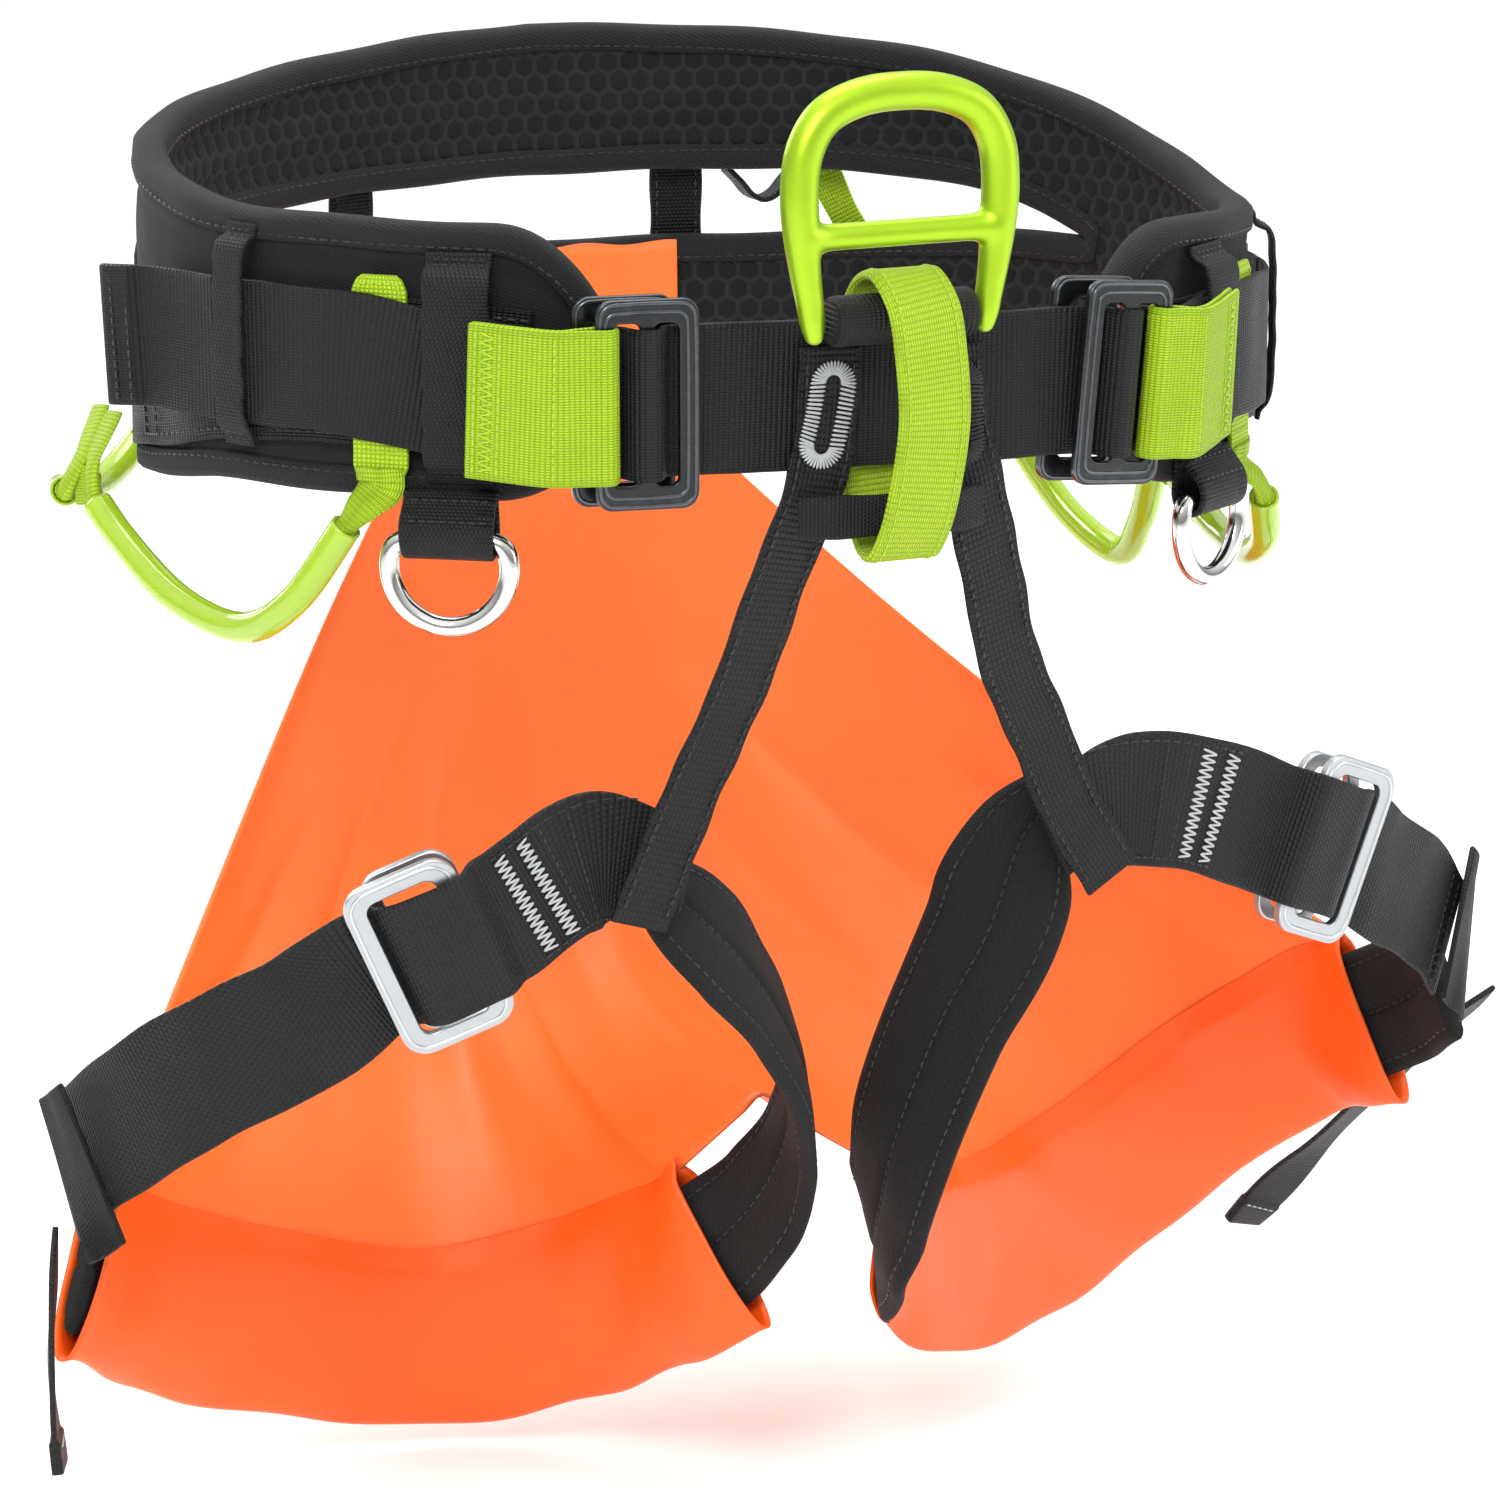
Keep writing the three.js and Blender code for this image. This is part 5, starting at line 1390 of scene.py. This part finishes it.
# ---------------------------------------------------------------- legs
# Each leg strap's rows before and after its buckle, from under the riser round to the outside of the thigh.
LEG_STRAPS = {
    "left": ([(-48, -99.5, -150), (-57, -98.8, -148), (-68, -98, -145.5), (-78, -97.5, -145),
              (-87, -97.5, -147.5), (-96, -97.8, -152.5, -0.3, -0.03, 0.95)],
             [(-162, -76, -190), (-177, -66, -200), (-193, -50, -213), (-205, -30, -229), (-211, -8, -244),
              (-212, 8, -256)], 48.5),
    "right": ([(73, -104, -153, -0.25, 0, 0.95), (82, -101, -148.5, -0.12, 0, 1), (91, -99, -145.5),
               (101, -98.5, -144.5), (115, -98.7, -145.5), (133, -98.5, -150)],
              [(212, -70, -187), (226, -61, -195), (242, -50, -206), (254, -40, -219)], 56.0),
}
LEG_PADS = {
    "left": [(-52, -91, -160, 0.5, 0.4, 0.75), (-34, -89, -178, 0.45, 0.65, 0.62),
             (-16, -83, -200, 0.35, 0.75, 0.55), (3, -68, -232, 0.25, 0.8, 0.5),
             (8, -54, -257, 0.1, 0.75, 0.6), (2, -42, -279, 0, 0.6, 0.8), (-8, -24, -298), (-15, 2, -314),
             (-34, 36, -332), (-76, 57, -341), (-133, 51, -325), (-174, 34, -307), (-205, 10, -286)],
    "right": [(72, -87.5, -154, -0.4, 0.3, 0.85), (60, -89, -184, -0.4, 0.5, 0.75),
              (49, -81, -213, -0.3, 0.65, 0.65), (41, -68, -250, -0.3, 0.7, 0.6),
              (42, -54, -278, -0.2, 0.65, 0.7), (47, -40, -296, 0, 0.6, 0.8), (62, -18, -310),
              (104, 12, -320), (162, 42, -314, -0.3, 0, 0.93), (210, 49, -292, -0.4, 0, 0.9),
              (236, 30, -271, -0.4, 0, 0.9), (247, 5, -257), (256, -16, -245), (257, -32, -235)],
}
SLEEVE_RUN = {"left": (21, 44), "right": (20, 38)}
LEG_KEEPERS = {"left": [(-212.5, -20, -244), (-214.8, -13, -249), (-216.5, -6, -253)],
               "right": [(251.6, -50.8, -211), (257.8, -45, -217), (263, -38, -224)]}
# Each tail's rows, and the direction across it.
LEG_TAILS = {"left": ([(-221.5, -10, -268), (-225, -17, -282), (-229, -25, -301), (-230, -29, -318),
                       (-229, -31, -336)], (0.35, 0.94, 0)),
             "right": ([(272.5, -27, -246), (275, -4, -262), (271, 25, -286), (258, 52, -316),
                        (240, 70, -345)], (0.75, -0.3, 0.6))}


def leg_strap(name, side):
    """Leg strap with its bartacks, keeper and tail."""
    b = LEG_BUCKLES[name]
    start, end, first = LEG_STRAPS[name]
    rows = start + b.rows(LEG_HUMP) + end
    path = Path(rows, 1.2)
    outline = soft(path, ribbon_profile(43, 2.1, 12), 0.2, 38, 21 + side, 0.2)
    outline[..., 0] *= (0.66 + 0.34 * smoothstep(path.s, 4, 34))[:, None]
    fit(sweep("leg_strap_" + name, path, outline), "saddle", "leg_web", name + "_leg_strap")
    sign = path.facing(4, FRONT)
    grey, black = [], []
    for s in (first, first + 8.5):
        grey.append(zigzag(path, s, s, -17.5, 17.5, 2.4, 1.3 * sign, 30))
    for s in (first - 13, first - 6, path.length - 12, path.length - 5):
        black.append(crosswise(path, s, 18, 1.15 * sign, 3.0))
    for a in (-18.6, 18.6):
        black.append(dashes(path, [(20, a), (first + 12, a)], 1.15 * sign, 3.0))
    sew("leg_strap_tacks_" + name, grey, 0.42, "grey_thread")
    sew("leg_strap_seams_" + name, black, 0.32)
    rows = LEG_KEEPERS[name]
    loop, path = band("leg_keeper_" + name, rows, 54, 1.8, step=1.0, wave=0.1)
    fit(loop, "saddle", "elastic", name + "_leg_keeper")
    rows, across = LEG_TAILS[name]
    path = Path(rows, 1.2, False, across)
    outline = per_ring(path, ribbon_profile(20, 1.9, 8))
    outline[..., 1] *= (1 + 0.9 * smoothstep(path.s, path.length - 11, path.length - 10))[:, None]
    outline[..., 1] += (0.5 * np.sin(path.s / 9))[:, None] * outline[..., 0] / 10
    body = name + "_leg_tail"
    fit(sweep("leg_tail_" + name, path, outline), body, "leg_web", body)
    runs = [crosswise(path, path.length - 8.5, 8, lift, 2.8) for lift in (-1.95, 1.95)]
    sew("leg_tail_hem_" + name, runs, 0.32, "grey_thread", body)


def leg_pad(name, side):
    """Padded leg loop, thin at its edges and sewn down the middle."""
    lead = {"left": [(-60, -93.5, -150, 0.5, 0.3, 0.8)], "right": [(86, -90, -141, -0.45, 0.2, 0.87)]}[name]
    path = Path(lead + LEG_PADS[name], 1.6)
    widen = 0.5 + 0.5 * smoothstep(path.s, 0, 42)
    base = ribbon_profile(44, 7, 22)
    outline = per_ring(path, base)
    a = outline[..., 0] / 22
    crown = 1 - 0.55 * np.abs(a) ** 3.0
    seam = 0.62 * np.exp(-((outline[..., 0]) / 1.5) ** 2)
    channel = 0.35 * np.exp(-((np.abs(outline[..., 0]) - 17.0) / 1.2) ** 2)
    ripple = 0.05 * np.sin(path.s / 6.5 + side)[:, None] * np.sin(outline[..., 0] / 3.5)
    outline[..., 1] *= 1.12 * crown * (1 - 0.55 * seam - 0.5 * channel) + ripple
    outline[..., 0] *= widen[:, None]
    pad = sweep("leg_pad_" + name, path, outline)
    fit(pad, "saddle", "leg_cloth", name + "_leg_pad")
    runs = []
    for lift in (1, -1):
        for share, depth in ((0.0, 2.75), (-17.0, 2.6), (17.0, 2.6)):
            line = np.stack([path.s, share * widen], 1)
            runs.append(dashes(path, line, lift * depth, 3.8, 0.7))
    sew("leg_pad_seams_" + name, runs, 0.3)


# ---------------------------------------------------------------- seat sleeves and sheet
def sleeve_path(name):
    """The stretch of a leg pad that the seat sleeve covers."""
    path = Path(LEG_PADS[name], steps=176)
    first, last = SLEEVE_RUN[name]
    return path.cut(first * 4, last * 4)


def seat_sleeve(name, side):
    """A soft tube of the sheet's fabric round the leg pad, pinched at its sewn top edge."""
    path = sleeve_path(name)
    rings = len(path.origin)
    s, length = path.s, path.length
    near = np.minimum(s, length - s)
    turn = np.linspace(0, 2 * np.pi, 72, endpoint=False)
    c, q = np.cos(turn)[None], np.sin(turn)[None]
    along = s[:, None]
    sag = 1.1 * np.sin(along / 17 + 1.3 * side) + 0.7 * np.sin(along / 7.3 + 2)
    dimple = np.zeros_like(along)
    for place in {"left": (0.3, 0.72), "right": (0.26, 0.52, 0.84)}[name]:
        dimple = dimple + np.exp(-((along - place * length) / 9) ** 2)
    up = np.sign(c) * np.abs(c) ** 0.72 * 30
    flat = 6.3 * np.sign(q) * np.abs(q) ** 0.8
    pinch = 1 - 0.8 * smoothstep(up, 22, 30.5)
    puff = 1 + 0.1 * np.sin(along / 11 + 2 * c) - 0.12 * dimple * np.exp(-((up + 12) / 12) ** 2)
    if name == "right":
        share = along / length
        sag = sag - (9.5 * np.exp(-((share - 0.36) / 0.24) ** 2) - 11.0 * np.exp(-(share / 0.09) ** 2))
    a = up + (sag * 0.8) * smoothstep(-up, 5, 30) + 0.25 * np.sin(along / 6.1) * smoothstep(-up, 18, 30)
    b = flat * pinch * puff + 0.35 * np.sin(along / 6.7 + up / 8)
    flare = 1 + 0.05 * np.exp(-(near / 5)[:, None])
    outer = np.stack([a * flare, b * flare], -1)
    centre = outer.mean(1, keepdims=True)
    inner = centre + (outer - centre) * np.array([0.955, 0.78])
    edge = np.exp(-(near / 1.2))[:, None, None]
    inner = inner * (1 - 0.3 * edge) + outer * 0.3 * edge
    sleeve = sweep("seat_sleeve_" + name, path, outer, True, inner)
    fit(sleeve, "saddle", "orange", name + "_seat_sleeve")
    return sleeve


SHEET_BENDS = [(0, -116, 114, -180), (0.28, -88, 132, -214), (0.5, -2, 150, -252), (0.72, 96, 130, -208),
               (1, 165, 101, -171)]


# Tension creases: from (across, down) to (across, down), as shares of the sheet, with height and width.
SHEET_CREASES = ((0.3, 0.35, 0.1, 0.98, 2.6, 0.02), (0.36, 0.4, 0.3, 0.98, 2.2, 0.018),
                 (0.68, 0.35, 0.9, 0.96, 2.6, 0.02), (0.62, 0.45, 0.76, 0.98, 2.2, 0.016),
                 (0.5, 0.5, 0.47, 0.97, 2.0, 0.014), (0.52, 0.55, 0.6, 0.97, 2.2, 0.014),
                 (0.15, 0.5, 0.03, 0.9, 2.0, 0.02), (0.85, 0.5, 0.97, 0.85, 2.0, 0.02))


def sheet_hem(share):
    """The sheet's lower edge: along the left sleeve, across the crotch, along the right sleeve."""
    runs = []
    for name in ("left", "right"):
        first, last = SLEEVE_RUN[name]
        path = Path(LEG_PADS[name], steps=44).cut(first, last)
        runs.append(path.origin + path.u * 27.5)
    points = np.vstack([runs[0][::-1], [(0, -33, -250), (9, -31, -245), (20, -34, -254)], runs[1]])
    t = np.linspace(0, 1, 1200)
    curve = catmull(points, t)
    run = lengths(curve)
    return np.stack([np.interp(share * run[-1], run, curve[:, k]) for k in range(3)], 1)


def seat_sheet():
    """The sheet from inside the belt to the sleeves. Returns it with its flat area and its cut size."""
    columns, rows = 200, 90
    share = np.linspace(0, 1, columns + 1)
    down = np.linspace(0, 1, rows + 1)
    theta = 90 - (share - 0.5) * 33
    top = belt(theta, -1.6, 4.0 + 0.6 * np.sin(share * 21))[0]
    fold = belt(theta, -3.0, -20)[0]
    tuck = belt(theta, -2.9, -54)[0]
    bend = np.stack([smooth_table([(r[0], r[k]) for r in SHEET_BENDS], share) for k in (1, 2, 3)], 1)
    hem = sheet_hem(share)
    grid = np.zeros((rows + 1, columns + 1, 3))
    for j, d in enumerate(down):
        if d < 0.07:
            grid[j] = top + (fold - top) * (d / 0.07)
        elif d < 0.14:
            grid[j] = fold + (tuck - fold) * ((d - 0.07) / 0.07)
        else:
            t = (d - 0.14) / 0.86
            grid[j] = tuck * (1 - t) ** 2 + bend * 2 * t * (1 - t) + hem * t * t
    across_step = np.gradient(grid, axis=1)
    down_step = np.gradient(grid, axis=0)
    normal = unit(np.cross(across_step, down_step))
    u, d = np.meshgrid(share, down)
    hang = smoothstep(d, 0.16, 0.4) * (1 - smoothstep(d, 0.86, 0.99))
    fan = np.sin(u * 19 + 2.2 * d) * 1.6 + np.sin(u * 37 - 4 * d + 1) * 0.7 + np.sin(u * 8 + 7 * d) * 1.2
    pull = np.zeros_like(u)
    for u0, d0, u1, d1, size, wide in SHEET_CREASES:
        span = np.clip((d - d0) / (d1 - d0), 0, 1)
        line = u0 + (u1 - u0) * span
        pull += size * np.exp(-((u - line) / wide) ** 2) * np.sin(np.pi * span) ** 0.7
    grid += normal * ((fan * 0.55 + pull * 0.8) * hang)[..., None]
    across_step, down_step = np.gradient(grid, axis=1), np.gradient(grid, axis=0)
    normal = unit(np.cross(across_step, down_step))
    back = grid + normal * 1.3
    count = (rows + 1) * (columns + 1)
    index = np.arange(count).reshape(rows + 1, columns + 1)
    quads = np.stack([index[:-1, :-1], index[:-1, 1:], index[1:, 1:], index[1:, :-1]], -1).reshape(-1, 4)
    rim = np.concatenate([index[0, :-1], index[:-1, -1], index[-1, :0:-1], index[:0:-1, 0]])
    walls = np.stack([rim, np.roll(rim, -1), np.roll(rim, -1) + count, rim + count], 1)
    faces = np.vstack([quads, quads[:, ::-1] + count, walls])
    long = np.linalg.norm(np.diff(grid[rows // 2], axis=0), axis=1).sum()
    deep = np.linalg.norm(np.diff(grid[:, columns // 2], axis=0), axis=1).sum()
    flat_uv = np.stack([u * long, d * deep], -1).reshape(-1, 2)
    flat_uv = np.vstack([flat_uv, flat_uv])
    points = np.vstack([grid.reshape(-1, 3), back.reshape(-1, 3)])
    obj = make_mesh("seat_sheet_fabric", points, faces.tolist(), flat_uv[faces.reshape(-1)])
    # the sheet takes the lighter copy of the sleeves' orange: painted light
    fit(obj, "saddle", "sheet", "seat_sheet")
    cell = np.cross(grid[1:, 1:] - grid[:-1, :-1], grid[1:, :-1] - grid[:-1, 1:])
    area = np.linalg.norm(cell, axis=2).sum() / 2 * 1e-6
    wide = np.linalg.norm(np.diff(grid, axis=1), axis=2).sum(1).max() * MM
    deep = np.linalg.norm(np.diff(grid, axis=0), axis=2).sum(0).max() * MM
    return obj, area, wide, deep


for NAME, SIDE in SIDES:
    leg_strap(NAME, SIDE)
    leg_pad(NAME, SIDE)
SLEEVES = [seat_sleeve(NAME, SIDE) for NAME, SIDE in SIDES]
SHEET, SHEET_AREA, SHEET_WIDE, SHEET_DEEP = seat_sheet()
